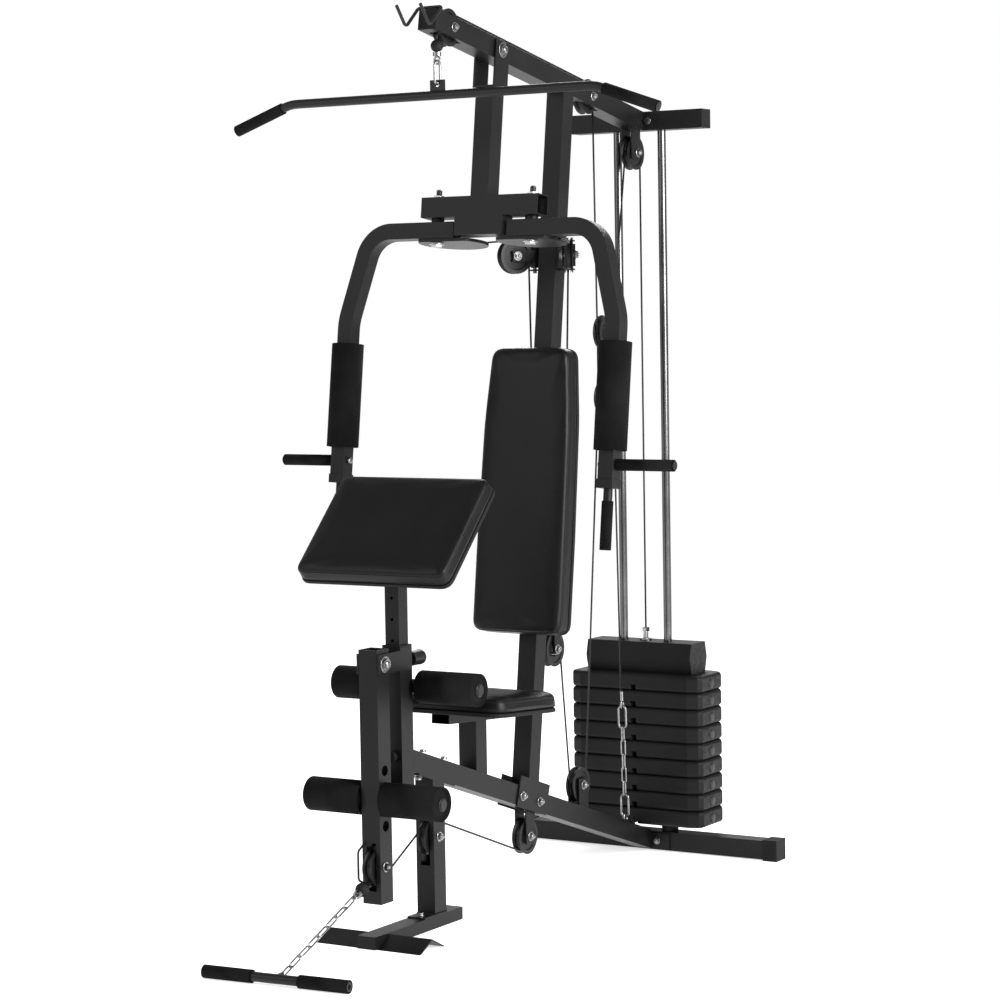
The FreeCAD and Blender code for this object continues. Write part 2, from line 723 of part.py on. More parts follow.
# Hook for the lat bar: one wire bent to two Vs
beam_tip = TOP.multVec(Vector(0, top_front, float(half)))
tip_y, tip_z = beam_tip.y + float(cell("middle")), beam_tip.z
wire = float(cell("wire"))
bar_y, bar_z = tip_y + 6.0, tip_z + wire - 0.6
HOOK_X = 33.0
hook_side = [(HOOK_X, tip_y - 88, tip_z + 2), (HOOK_X, tip_y - 50, tip_z - 45), (HOOK_X, bar_y, bar_z)]
hook_points = hook_side + [(-x, y, z) for x, y, z in reversed(hook_side)]
node("bar_hook", shaped(along_path(bent_path(hook_points, (12, 8, 8, 12)), wire), LEVEL))

# Seat: post and bar, pad, and the back pad
seat_end = box((-60, 60), (-half, 300), (100, 900), LEAN)
seat_rail = square_tube((-half, half), (0, 480), (0, half), "y", SEAT)
seat_post = square_tube((-half, half), (-42, 8), (300, 520), "z")
over_seat = box((-60, 60), (0, 500), (0, 200), SEAT)
under_seat = box((-60, 60), (beam_at(-300), beam_at(300)), (-300, half), BEAM)
node("seat_frame", fuse(cut(seat_rail, seat_end), cut(seat_post, over_seat, under_seat)))


def on_top(edge):
    return edge.BoundBox.ZLength < 0.01 and edge.CenterOfMass.z > 1


def standing(edge):
    return edge.BoundBox.ZLength > 1


seat_half, seat_length = cell("seat_half"), cell("seat_length")
seat_pad, seat_slab = padded("XY_Plane", [(-seat_half, 0), (seat_half, 0), (seat_half, seat_length),
                                          (-seat_half, seat_length)], cell("seat_thick"))
seat_round = soften(seat_pad, seat_slab, 35, standing)
soften(seat_pad, seat_round, 14, on_top)
place(seat_pad, 0, -27, half + 0.3, SEAT)
node("seat_pad", seat_pad)

back_half = cell("back_half")
BACK_OUTLINE = [(back_half - 12, cell("back_low")), (back_half, cell("back_low") + 14),
                (back_half, 890), (back_half - 5, 1187), (back_half - 19, 1335), (back_half - 34, 1362),
                (back_half - 58, cell("back_top"))]
back_points = BACK_OUTLINE + [(-x, z) for x, z in reversed(BACK_OUTLINE)]
back_pad, back_slab = padded("XZ_Plane", back_points, cell("back_thick"))
soften(back_pad, back_slab, 10, lambda edge: edge.BoundBox.YLength < 0.01)
place(back_pad, 0, -37.3, 0, LEAN)
node("back_pad", back_pad)

# Fixed roller under the front post's top
bar_radius = cell("bar_radius")
node("upper_roller_bar", rod(bar_radius, 400, -200, *ROLLER, along="x"))


def foam_pair(y, z, low, high, radius):
    rollers = []
    for start in (low, -high):
        outer = rod(radius, high - low, start, y, z, "x")
        rollers.append(cut(outer, rod(bar_radius + 0.2, high - low + 20, start - 10, y, z, "x")))
    return group(*rollers)


node("upper_foam", foam_pair(*ROLLER, 38.0, 195.0, cell("foam_radius")))

# Weight stack: nine plates on the guide rods; the upper three are picked by the pin
stack_y = cell("stack_y")
plate_half, plate_depth, plate_height = cell("plate_half"), cell("plate_depth"), cell("plate_height")
PLATE_COUNT = 9
PICKED = 3
CORNER = [(plate_half - 36, plate_depth), (plate_half - 8, plate_depth - 11), (plate_half, plate_depth - 24)]
quarter = CORNER + [(x, -y) for x, y in reversed(CORNER)]
plate_outline = quarter + [(-x, -y) for x, y in quarter]


def weight_plate(index):
    """One plate, counted from the top, with its rod holes and the channel for the pin."""
    low = cell("stack_low") + (PLATE_COUNT - 1 - index) * cell("plate_pitch")
    slab, pad = padded("XY_Plane", plate_outline, plate_height)
    soften(slab, pad, cell("plate_round"), lambda edge: edge.BoundBox.ZLength < 0.01)
    place(slab, 0, stack_y, low)
    holes = [rod(cell("rod_radius") + 0.6, 70, side * cell("rod_x"), stack_y, low - 10) for side in (-1, 1)]
    holes.append(rod(cell("rod_radius") + 0.6, 70, 0, stack_y, low - 10))
    channel = box((-8.5, 8.5), (stack_y - 90, stack_y + 90), (low - 1, low + 16))
    return cut(slab, channel, *holes)


plates = [weight_plate(index) for index in range(PLATE_COUNT)]
node("plates_picked", group(*plates[:PICKED]))
node("plates_resting", group(*plates[PICKED:]))

block_low = cell("stack_low") + (PLATE_COUNT - 1) * cell("plate_pitch") + plate_height + 0.3
block_high = cell("block_height")
block_depth = cell("block_depth")
block_side = [(block_depth - 10, 0), (block_depth, block_high / 2), (block_depth - 10, block_high)]
block_outline = block_side + [(-y, z) for y, z in reversed(block_side)]
block, _ = padded("YZ_Plane", block_outline, 2 * cell("block_half"), middle=True)
place(block, 0, stack_y, block_low)
rod_bores = [rod(cell("rod_radius") + gap, 100, side * cell("rod_x"), stack_y, block_low - 5) for side in (-1, 1)]
selector_radius = cell("rod_radius") - 1
node("top_block", cut(block, rod(selector_radius + gap, 100, 0, stack_y, block_low - 5), *rod_bores))

block_top = block_low + block_high
pin_z = cell("stack_low") + (PLATE_COUNT - PICKED) * cell("plate_pitch") + 8
selector = fuse(rod(selector_radius, block_top - 88, 0, stack_y, 88),
                rod(17, 5, 0, stack_y, block_top), rod(7, 20, 0, stack_y, block_top + 5),
                hexagon(11, 10, 0, stack_y, block_top + 25))
pin_holes = [rod(cell("pin_radius") + 0.3, 40, 0, stack_y - 20,
                 cell("stack_low") + index * cell("plate_pitch") + 8, "y") for index in range(1, PLATE_COUNT)]
node("selector_rod", cut(selector, *pin_holes))
stack_bolt_top = block_top + 35

pin_rear = stack_y + plate_depth + 4
node("selector_pin", fuse(
    rod(cell("pin_radius"), 115, 0, pin_rear - 110, pin_z, "y"), rod(12, 16, 0, pin_rear, pin_z, "y")))

# Press frame: clevis on the top beam, post, carrier and the two pivot bolts of the arms
press_y, press_hinge = cell("press_y"), cell("press_hinge_z")
carrier_z, carrier_half = cell("carrier_z"), cell("carrier_half")
pivot_x, arm_z, arm_y = cell("arm_pivot_x"), cell("arm_z"), cell("arm_y")
arm_half = cell("arm_tube") / 2
cheek_low = press_hinge - 90
cheeks = [box(limits, (press_y - 31, press_y + 31), (cheek_low, press_hinge + 21), LEAN)
          for limits in ((26, 31), (-31, -26))]
clevis_base = box((-31, 31), (press_y - 31, press_y + 31), (cheek_low - 5, cheek_low), LEAN)
press_post = square_tube((-half, half), (press_y - half, press_y + half), (carrier_z + half, cheek_low - 5),
                         "z", LEAN)
carrier = square_tube((-carrier_half, carrier_half), (press_y - half, press_y + half),
                      (carrier_z - half, carrier_z + half), "x", LEAN)
stop_block = box((-68, 68), (press_y - half, press_y + half), (arm_z - arm_half + 4, carrier_z - half), LEAN)
pivot_low = arm_z - arm_half - 12
pivot_span = carrier_z + half - pivot_low
pivot_bores = [bore(hinge, side * pivot_x, arm_y, pivot_low, pivot_span, "z", LEAN) for side in (-1, 1)]
press_hinge_bore = bore(hinge, -31, press_y, press_hinge, 62, "x", LEAN)
welded_press = cut(fuse(*cheeks, clevis_base, press_post, carrier, stop_block), *pivot_bores, press_hinge_bore)
pivot_bolts = [bolt(hinge, side * pivot_x, arm_y, pivot_low, pivot_span, "z", LEAN) for side in (-1, 1)]
node("press_frame", group(welded_press, *pivot_bolts))

# Press arms: a bent square tube with a cam, a collar and two handles
arm_out, arm_low = cell("arm_out"), cell("arm_low")
ARM_SHOULDER = (321.2, 342.0)   # where the slanted part meets the level part, and a point lower down
ARM_INNER = 76.0
GRIP_Z = 1061.8
STUB_END = 861.0


def press_arm(side):
    points = [(side * ARM_INNER, float(arm_y), float(arm_z)),
              (side * ARM_SHOULDER[0], float(arm_y), float(arm_z)),
              (side * float(arm_out), float(arm_y), 1409.7),
              (side * float(arm_out), float(arm_y), float(arm_low))]
    tube_shape = along_path(bent_path(points, (80, 150)), "square")
    bent = shaped(tube_shape, LEAN)
    collar_low = arm_low - 22
    foot = box((side * arm_out - arm_half - 2, side * arm_out + arm_half + 2),
               (arm_y - arm_half - 2, arm_y + arm_half + 2), (collar_low, arm_low), LEAN)
    handle_start = 0 if side > 0 else -175
    handle = rod(cell("handle_radius"), 175, side * arm_out + handle_start, arm_y, GRIP_Z, "x", LEAN)
    stub = rod(cell("handle_radius"), collar_low - STUB_END, side * arm_out, arm_y, STUB_END, "z", LEAN)
    cam_low = arm_z - arm_half - CAM_THICK
    disc = rod(cell("cam_radius"), CAM_THICK, side * CAM_X, arm_y + CAM_BEHIND, cam_low, "z", LEAN)
    flat = box((-300, 300), (arm_y - 160, arm_y - 14), (cam_low - 20, cam_low + 20), LEAN)
    cam = cut(disc, flat)
    bush = rod(16, carrier_z - half - (arm_z + arm_half) - 0.6, side * pivot_x, arm_y, arm_z + arm_half, "z", LEAN)
    pivot = bore(hinge, side * pivot_x, arm_y, pivot_low, pivot_span, "z", LEAN)
    return cut(fuse(bent, foot, handle, stub, cam, bush), pivot)


def arm_foam(side):
    x = side * arm_out
    sleeve = rod(cell("sleeve_radius"), 257, x, arm_y, 1096, "z", LEAN)
    inside = box((x - arm_half - 0.2, x + arm_half + 0.2), (arm_y - arm_half - 0.2, arm_y + arm_half + 0.2),
                 (1000, 1400), LEAN)
    grip_radius, core = cell("grip_radius"), cell("handle_radius") + 0.1
    grip_start = side * arm_out + (22 if side > 0 else -172)
    across = cut(rod(grip_radius, 150, grip_start, arm_y, GRIP_Z, "x", LEAN),
                 rod(core, 170, grip_start - 10, arm_y, GRIP_Z, "x", LEAN))
    down = cut(rod(grip_radius, 116, x, arm_y, STUB_END - 1, "z", LEAN),
               rod(core, 140, x, arm_y, STUB_END, "z", LEAN))
    return group(cut(sleeve, inside), across, down)


for side, name in ((-1, "left"), (1, "right")):
    node(f"{name}_arm", press_arm(side))
    node(f"{name}_arm_foam", arm_foam(side))

# Leg developer
lever_y, lever_low, lever_top = cell("lever_y"), cell("lever_low"), cell("lever_top")
lever_shell = square_tube((-half, half), (lever_y - half, lever_y + half), (lever_low, lever_top), "z")
LEVER_HOLES = (409.0, 280.0)
LEVER_ROLLER = (-442.0, 342.0)
lever_pulley_y, lever_pulley_z = PULLEYS["pulley_lever"]
lever_holes = [bore(bar_radius, -half, lever_y, z, tube) for z in LEVER_HOLES]
guard_points = [(-18, -468, 145), (-18, -495, 160), (-18, -495, 226), (-18, -468, 241)]
guard = shaped(along_path(bent_path(guard_points, (12, 12)), 2.5), LEVEL)
lever_welded = fuse(cut(lever_shell, pulley_slot("pulley_lever", 130, 242)), guard)
lever_body = cut(lever_welded, bore(hinge, -half, *LEVER_HINGE, tube),
                 bore(bar_radius, -half, *LEVER_ROLLER, tube),
                 bore(axle, -half, lever_pulley_y, lever_pulley_z, tube), *lever_holes)
node("leg_lever", group(lever_body, bolt(axle, -half, lever_pulley_y, lever_pulley_z, tube)))
node("lever_roller_bar", rod(bar_radius, 370, -185, *LEVER_ROLLER, along="x"))
node("lever_foam", foam_pair(*LEVER_ROLLER, 28.0, 180.0, cell("foam_radius") + 1))

# Ball stop of the lower cable, in front of the lever's pulley
BALL = (-507.0, 141.0)
CUP = (-527.0, 134.0)
EYE = (-541.0, 128.5)
heading = Vector(0, EYE[0] - BALL[0], EYE[1] - BALL[1]).normalize()
slope = math.degrees(math.atan2(-heading.z, -heading.y))
tilt = Rotation(Vector(1, 0, 0), 90 + slope)
rubber_ball = cut(ball(16.5, 0, *BALL), rod(2.8, 60, 0, BALL[0] - 30 * heading.y, BALL[1] - 30 * heading.z,
                                            turn=tilt))
cup_shape = rod(10, 9, 0, BALL[0] + 16.6 * heading.y, BALL[1] + 16.6 * heading.z, turn=tilt)
eye_centre = (0, BALL[0] + 34 * heading.y, BALL[1] + 34 * heading.z)
eye_ring = shaped(link_ring(eye_centre, (0, heading.y, heading.z), (1, 0, 0), 18.0, 17.6, 2.5), LEVEL)
node("lever_ball", group(rubber_ball, fuse(cup_shape, eye_ring)))

# Low bar on its chain
low_y, low_half = cell("low_y"), cell("low_half")
LOW_TURN = 4.0
low_turn = Rotation(Vector(0, 0, 1), LOW_TURN)
low_frame = LEVEL.multiply(Placement(Vector(20, float(low_y), 15.0), low_turn))
low_tube = rod(11, 2 * low_half, -low_half, 0, 0, "x", low_frame)
low_lug = cut(box((-2.5, 2.5), (0, 30), (-9, 9), low_frame), rod(4.5, 20, -10, 21, 0, "x", low_frame))
lug_point = LEVEL.inverse().multVec(low_frame.multVec(Vector(0, 21, 0)))
chain_start = (0, eye_centre[1] + 4.0 * heading.y, eye_centre[2] + 4.0 * heading.z)
low_links = chain(chain_start, (lug_point.x, lug_point.y, lug_point.z), 8, float(cell("link_wire")))
node("low_bar", group(fuse(low_tube, low_lug), *[shaped(link, LEVEL) for link in low_links]))
low_grips = []
for start in (-low_half, low_half - 125):
    outer = rod(15, 125, start, 0, 0, "x", low_frame)
    low_grips.append(cut(outer, rod(11.1, 145, start - 10, 0, 0, "x", low_frame)))
node("low_grips", group(*low_grips))

# Lat bar with its lug, carabiner and cup
lat_y, lat_z = cell("lat_y"), cell("lat_z")
LAT_DROP = 57.0
lat_side = [(float(cell("lat_reach")), float(lat_y), float(lat_z) - LAT_DROP),
            (float(cell("lat_straight")), float(lat_y), float(lat_z))]
lat_points = lat_side + [(-x, y, z) for x, y, z in reversed(lat_side)]
lat_tube = shaped(along_path(bent_path(lat_points, (120, 120)), float(cell("handle_radius"))), LEVEL)
lat_lug = cut(box((-20, 20), (lat_y - 2.5, lat_y + 2.5), (lat_z, lat_z + 36)),
              rod(6, 20, 0, lat_y - 10, lat_z + 25, "y"))
lat_ring = shaped(link_ring((0, float(lat_y), float(lat_z) + 53.5), (0, 0, 1), (0, 1, 0), 62, 30, 3), LEVEL)
lat_eye = shaped(link_ring((0, float(lat_y), float(lat_z) + 82), (0, 0, 1), (1, 0, 0), 22, 20, 2.5), LEVEL)
lat_cup = rod(10, 8.9, 0, lat_y, lat_z + 92)
node("lat_bar", group(fuse(lat_tube, lat_lug), lat_ring, fuse(lat_eye, lat_cup)))
grip_angle = math.atan2(LAT_DROP, float(cell("lat_reach")) - float(cell("lat_straight")))
lat_grips = []
for side in (-1, 1):
    turn = Rotation(Vector(0, 1, 0), side * (90 + math.degrees(grip_angle)))
    length = 148.0
    start_x = float(cell("lat_reach")) - (length + 1) * math.cos(grip_angle)
    start_z = float(lat_z) - LAT_DROP + (length + 1) * math.sin(grip_angle)
    outer = rod(cell("grip_radius"), length, side * start_x, lat_y, start_z, turn=turn)
    inner = rod(cell("handle_radius") + 0.1, 200, side * (start_x - 20 * math.cos(grip_angle)), lat_y,
                start_z + 20 * math.sin(grip_angle), turn=turn)
    lat_grips.append(cut(outer, inner))
LAT_BALL_RISE = 116.0
lat_ball = cut(ball(15, 0, lat_y, lat_z + LAT_BALL_RISE), rod(2.8, 60, 0, lat_y, lat_z + 90))
node("lat_grips", group(*lat_grips, lat_ball))

# Arm curl: inner post and pad, and the pop pin behind the front post
CURL_HIGH = (-258.0, 1080.0)
CURL = LEVEL.multiply(Placement(Vector(0, *CURL_HIGH), Rotation(Vector(1, 0, 0), 45)))
curl_length, curl_thick = cell("curl_length"), cell("curl_thick")
curl_cut = box((-80, 80), (-curl_length - 100, 100), (-curl_thick - 6, 200), CURL)
curl_tube = cut(square_tube((-inner_half, inner_half), (post_y - inner_half, post_y + inner_half), (470, 1100), "z"),
                curl_cut)
curl_plate = box((-60, 60), (-curl_length / 2 - 60, -curl_length / 2 + 80), (-curl_thick - 6, -curl_thick - 0.3), CURL)
curl_holes = [bore(4, 0, post_y - half, PIN_Z + 50 * step, tube, "y") for step in (-2, -1, 0, 1, 2, 3)]
node("curl_post", cut(fuse(curl_tube, curl_plate), *curl_holes))
curl_half = cell("curl_half")
curl_pad, curl_slab = padded("XY_Plane", [(-curl_half, -curl_length), (curl_half, -curl_length),
                                          (curl_half, 0), (-curl_half, 0)], curl_thick)
curl_round = soften(curl_pad, curl_slab, 20, standing)
soften(curl_pad, curl_round, 12, on_top)
place(curl_pad, 0, 0, -curl_thick, CURL)
node("curl_pad", curl_pad)
pin_tip = post_y + inner_half + 0.3
node("pop_pin", fuse(rod(4.2, 60, 0, pin_tip, PIN_Z, "y"), rod(17.5, 46, 0, post_rear + 29, PIN_Z, "y")))

# Floating brackets
float_y, float_high = PULLEYS["pulley_float_upper"]
float_low = PULLEYS["pulley_float_lower"][1]
links = [box(limits, (float_y - 14, float_y + 14), (float_low - 18, float_high + 18))
         for limits in ((BRACKET_IN, BRACKET_OUT), (-BRACKET_OUT, -BRACKET_IN))]
float_bores = [bore(axle, -BRACKET_OUT, float_y, z, 2 * BRACKET_OUT) for z in (float_low, float_high)]
float_web = box((-BRACKET_IN, BRACKET_IN), (float_y - 14, float_y + 14),
                ((float_low + float_high) / 2 - 20, (float_low + float_high) / 2 + 20))
float_bolts = [bolt(axle, -BRACKET_OUT, float_y, z, 2 * BRACKET_OUT) for z in (float_low, float_high)]
node("floating_bracket", group(cut(fuse(*links, float_web), *float_bores), *float_bolts))

hang_y, hang_high = HANGER
hang_low = PULLEYS["pulley_hanger_lower"][1]
mid = (hang_low + hang_high) / 2
low_fork = [box(limits, (hang_y - 14, hang_y + 14), (hang_low - 18, mid)) for limits in
            ((BRACKET_IN, BRACKET_OUT), (-BRACKET_OUT, -BRACKET_IN))]
high_fork = [box((-14, 14), limits, (mid, hang_high + 18)) for limits in
             ((hang_y + BRACKET_IN, hang_y + BRACKET_OUT), (hang_y - BRACKET_OUT, hang_y - BRACKET_IN))]
joint_block = box((-BRACKET_OUT, BRACKET_OUT), (hang_y - BRACKET_OUT, hang_y + BRACKET_OUT), (mid - 12, mid + 12))
hang_bores = [bore(axle, -BRACKET_OUT, hang_y, hang_low, 2 * BRACKET_OUT),
              bore(axle, 0, hang_y - BRACKET_OUT, hang_high, 2 * BRACKET_OUT, "y")]
hang_bolts = [bolt(axle, -BRACKET_OUT, hang_y, hang_low, 2 * BRACKET_OUT),
              bolt(axle, 0, hang_y - BRACKET_OUT, hang_high, 2 * BRACKET_OUT, "y")]
node("hanging_bracket", group(cut(fuse(*low_fork, *high_fork, joint_block), *hang_bores), *hang_bolts))


# Swivel forks beside the upright, each on a fixed chrome pin
def swivel(side):
    frame = LEVEL.multiply(Placement(Vector(side * SWIVEL_X, SWIVEL_Y, SWIVEL_Z),
                                     Rotation(Vector(0, 0, 1), side * SWIVEL_TURN)))
    barrel = rod(10, 60, 0, 0, -30, "z", frame)
    block_part = box((-BRACKET_OUT, BRACKET_OUT), (-9, 9), (-28, 28), frame)
    arms = [box(limits, (-SWIVEL_REACH - 14, 9), (-14, 14), frame) for limits in
            ((BRACKET_IN, BRACKET_OUT), (-BRACKET_OUT, -BRACKET_IN))]
    hole = bore(axle, 0, 0, -40, 80, "z", frame)
    axle_hole = bore(axle, -BRACKET_OUT, -SWIVEL_REACH, 0, 2 * BRACKET_OUT, "x", frame)
    axle_bolt = bolt(axle, -BRACKET_OUT, -SWIVEL_REACH, 0, 2 * BRACKET_OUT, "x", frame)
    return group(cut(fuse(barrel, block_part, *arms), hole, axle_hole), axle_bolt)


for side, name in ((-1, "left"), (1, "right")):
    node(f"{name}_swivel", swivel(side))

# Bolts of the fixed frame
frame_bolts = []
for y in leg_bolt_spots:
    frame_bolts.append(bolt(4, 0, beam_at(y), -half - plate, tube + plate, "z", BEAM))
for y in saddle_spots:
    frame_bolts.append(bolt(5, -half - plate, beam_at(y), 0, tube + 2 * plate, "x", BEAM))
for side in (-1, 1):
    frame_bolts.append(bolt(4, side * FLANGE_BOLT_X, rear_front - plate, 28, tube + plate, "y"))
    frame_bolts.append(bolt(4, side * 38, cross_front - plate, cross_z, tube + plate, "y"))
    frame_bolts.append(rod(axle, 88, side * SWIVEL_X, SWIVEL_Y, SWIVEL_Z - 44))
frame_bolts.append(bolt(4, 0, -264, foot_height - wall, wall + plate, "z"))
frame_bolts.append(bolt(hinge, -31, *LEVER_HINGE, 62))
frame_bolts.append(bolt(hinge, -31, *PRESS_HINGE, 62))
for name in ("pulley_front_top", "pulley_rear_top", "pulley_leg"):
    frame_bolts.append(bolt(axle, -half, *PULLEYS[name], tube))
for name in ("pulley_stack", "pulley_base", "pulley_under"):
    frame_bolts.append(bolt(axle, -BRACKET_OUT, *PULLEYS[name], 2 * BRACKET_OUT))
node("frame_bolts", group(*frame_bolts))

# Anchor of the lower cable: eye bolt, chain, carabiner and crimped sleeve
eye_base = BEAM.multVec(Vector(0, float(beam_at(739)), float(half)))
eye_y, eye_z = eye_base.y + float(cell("middle")), eye_base.z
ANCHOR_RISE = 14.0
anchor_eye = Vector(0, eye_y, eye_z + ANCHOR_RISE)
rise = heading_to(eye_y, eye_z + ANCHOR_RISE, "pulley_float_lower", 1)
sideways = Vector(1, 0, 0)
upwards = rise.cross(sideways)
link_wire, link_pitch = float(cell("link_wire")), float(cell("link_pitch"))
PEAR_LENGTH, PEAR_WIDTH, PEAR_WIRE = 66.0, 28.0, 3.0
LINK_COUNT = 5
slack = 0.3
pear_inside = PEAR_LENGTH / 2 - 2 * PEAR_WIRE
lower_pear = anchor_eye + rise * (12 - 2 * PEAR_WIRE - slack + pear_inside)
links_from = lower_pear + rise * pear_inside
links_to = links_from + rise * (LINK_COUNT * link_pitch)
upper_pear = links_to + rise * pear_inside
sleeve_spot = upper_pear + rise * (pear_inside + 12 - 5 - slack)
crimp_spot = sleeve_spot + rise * 10.5
cable_stop = crimp_spot + rise * 25
rise_turn = Rotation(Vector(0, 0, 1), rise)
anchor_ring = shaped(link_ring(anchor_eye, (0, 0, 1), (0, 1, 0), 24, 22, 3), LEVEL)
anchor_stem = rod(4, tube + 3, 0, beam_at(739), -half, "z", BEAM)
pears = [shaped(link_ring(spot, rise, sideways, PEAR_LENGTH, PEAR_WIDTH, PEAR_WIRE), LEVEL)
         for spot in (lower_pear, upper_pear)]
sleeve_ring = shaped(link_ring(sleeve_spot, rise, upwards, 24, 18, 2.5), LEVEL)
crimp = rod(4.5, 25, 0, crimp_spot.y, crimp_spot.z, turn=rise_turn)
node("anchor_chain", group(fuse(anchor_ring, anchor_stem),
                           *[shaped(link, LEVEL) for link in chain(links_from, links_to, LINK_COUNT, link_wire)],
                           *pears, fuse(sleeve_ring, crimp)))

# Cables
turn_radius = float(cell("cable_turn"))


def stop(name, way):
    return (*PULLEYS[name], turn_radius, way)


upper = belt_path([(float(lat_y), float(lat_z) + LAT_BALL_RISE, 0, 1), stop("pulley_front_top", -1), stop("pulley_rear_top", -1),
                   stop("pulley_float_upper", 1), stop("pulley_stack", -1), (float(stack_y), float(stack_bolt_top), 0, 1)])
node("upper_cable", shaped(cable("upper_cable", upper), LEVEL))

from_ball = Vector(0, *BALL) + heading_to(*BALL, "pulley_lever", 1) * 17
lower = belt_path([(from_ball.y, from_ball.z, 0, 1), stop("pulley_lever", 1), stop("pulley_leg", -1), stop("pulley_under", 1),
                   stop("pulley_hanger_lower", -1), stop("pulley_base", 1), stop("pulley_float_lower", -1),
                   (cable_stop.y, cable_stop.z, 0, 1)])
node("lower_cable", shaped(cable("lower_cable", lower), LEVEL))

drop = SWIVEL_REACH - turn_radius
drop_x = SWIVEL_X + drop * math.sin(swing)
drop_y = SWIVEL_Y - drop * math.cos(swing)
rim_x = CAM_X + rim * math.cos(swing)
rim_y = cam_y + rim * math.sin(swing)
rim_z = cam_z - rim * math.sin(swing) * math.sin(math.radians(float(cell("lean"))))
run = math.hypot(rim_x - drop_x, rim_y - drop_y)
corner_z = SWIVEL_Z + turn_radius
for _ in range(20):
    corner_z = SWIVEL_Z + turn_radius * (math.hypot(run, rim_z - corner_z) - (rim_z - corner_z)) / run
fly_side = [(-rim_x, rim_y, rim_z), (-drop_x, drop_y, corner_z), (-turn_radius, HANGER[0], HANGER[1] - turn_radius)]
fly_points = fly_side + [(-x, y, z) for x, y, z in reversed(fly_side)]
fly = bent_path(fly_points, (turn_radius, turn_radius - 0.5, turn_radius - 0.5, turn_radius))
node("fly_cable", shaped(cable("fly_cable", fly), LEVEL))

doc.recompute()

# Check every object, then write the sub-parts
problems = []
for item in doc.Objects:
    if "Invalid" in item.State or "Error" in item.State:
        problems.append(f"{item.Label}: {item.State}")
for label, item in NODES.items():
    if item.Shape.isNull() or not item.Shape.isValid() or not item.Shape.Solids:
        problems.append(f"{label}: shape is null, not valid or has no solid")
if problems:
    raise SystemExit("\n".join(problems))
os.makedirs("parts", exist_ok=True)
for label, item in NODES.items():
    item.Shape.exportStep(f"parts/{label}.step")
    bounds = item.Shape.BoundBox
    print(f"{label}: {len(item.Shape.Solids)} solids, X {bounds.XMin:.1f}..{bounds.XMax:.1f}, "
          f"Y {bounds.YMin:.1f}..{bounds.YMax:.1f}, Z {bounds.ZMin:.1f}..{bounds.ZMax:.1f}")
print(f"{len(NODES)} nodes")
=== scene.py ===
import math

import bmesh
import bpy
import numpy as np
from mathutils import Matrix, Vector
from mathutils.bvhtree import BVHTree


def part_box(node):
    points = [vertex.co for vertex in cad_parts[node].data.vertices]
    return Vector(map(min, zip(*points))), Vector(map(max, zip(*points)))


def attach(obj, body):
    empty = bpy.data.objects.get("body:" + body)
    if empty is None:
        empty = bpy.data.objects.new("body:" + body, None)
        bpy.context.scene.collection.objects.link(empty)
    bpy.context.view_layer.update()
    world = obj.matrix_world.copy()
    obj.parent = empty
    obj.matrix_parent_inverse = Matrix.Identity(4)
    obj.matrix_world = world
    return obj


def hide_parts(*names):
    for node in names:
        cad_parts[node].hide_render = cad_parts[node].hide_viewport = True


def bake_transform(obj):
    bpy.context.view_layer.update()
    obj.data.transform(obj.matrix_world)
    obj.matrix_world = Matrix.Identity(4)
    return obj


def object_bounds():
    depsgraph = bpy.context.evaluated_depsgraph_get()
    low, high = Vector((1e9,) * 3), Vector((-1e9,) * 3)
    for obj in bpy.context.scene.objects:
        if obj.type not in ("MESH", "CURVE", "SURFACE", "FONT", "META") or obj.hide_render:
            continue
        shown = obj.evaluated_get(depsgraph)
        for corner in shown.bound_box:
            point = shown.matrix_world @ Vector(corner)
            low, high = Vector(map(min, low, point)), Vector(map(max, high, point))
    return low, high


# Looks of the multi station home gym: materials, cushions, foam, grips, cables and small fittings.
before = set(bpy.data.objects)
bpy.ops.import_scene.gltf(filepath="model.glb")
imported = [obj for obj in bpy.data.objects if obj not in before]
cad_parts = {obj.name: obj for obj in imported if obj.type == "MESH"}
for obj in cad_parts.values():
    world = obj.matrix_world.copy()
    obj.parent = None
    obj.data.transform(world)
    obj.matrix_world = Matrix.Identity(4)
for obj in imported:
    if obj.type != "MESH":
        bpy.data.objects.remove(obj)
cad_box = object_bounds()
scene = bpy.context.scene


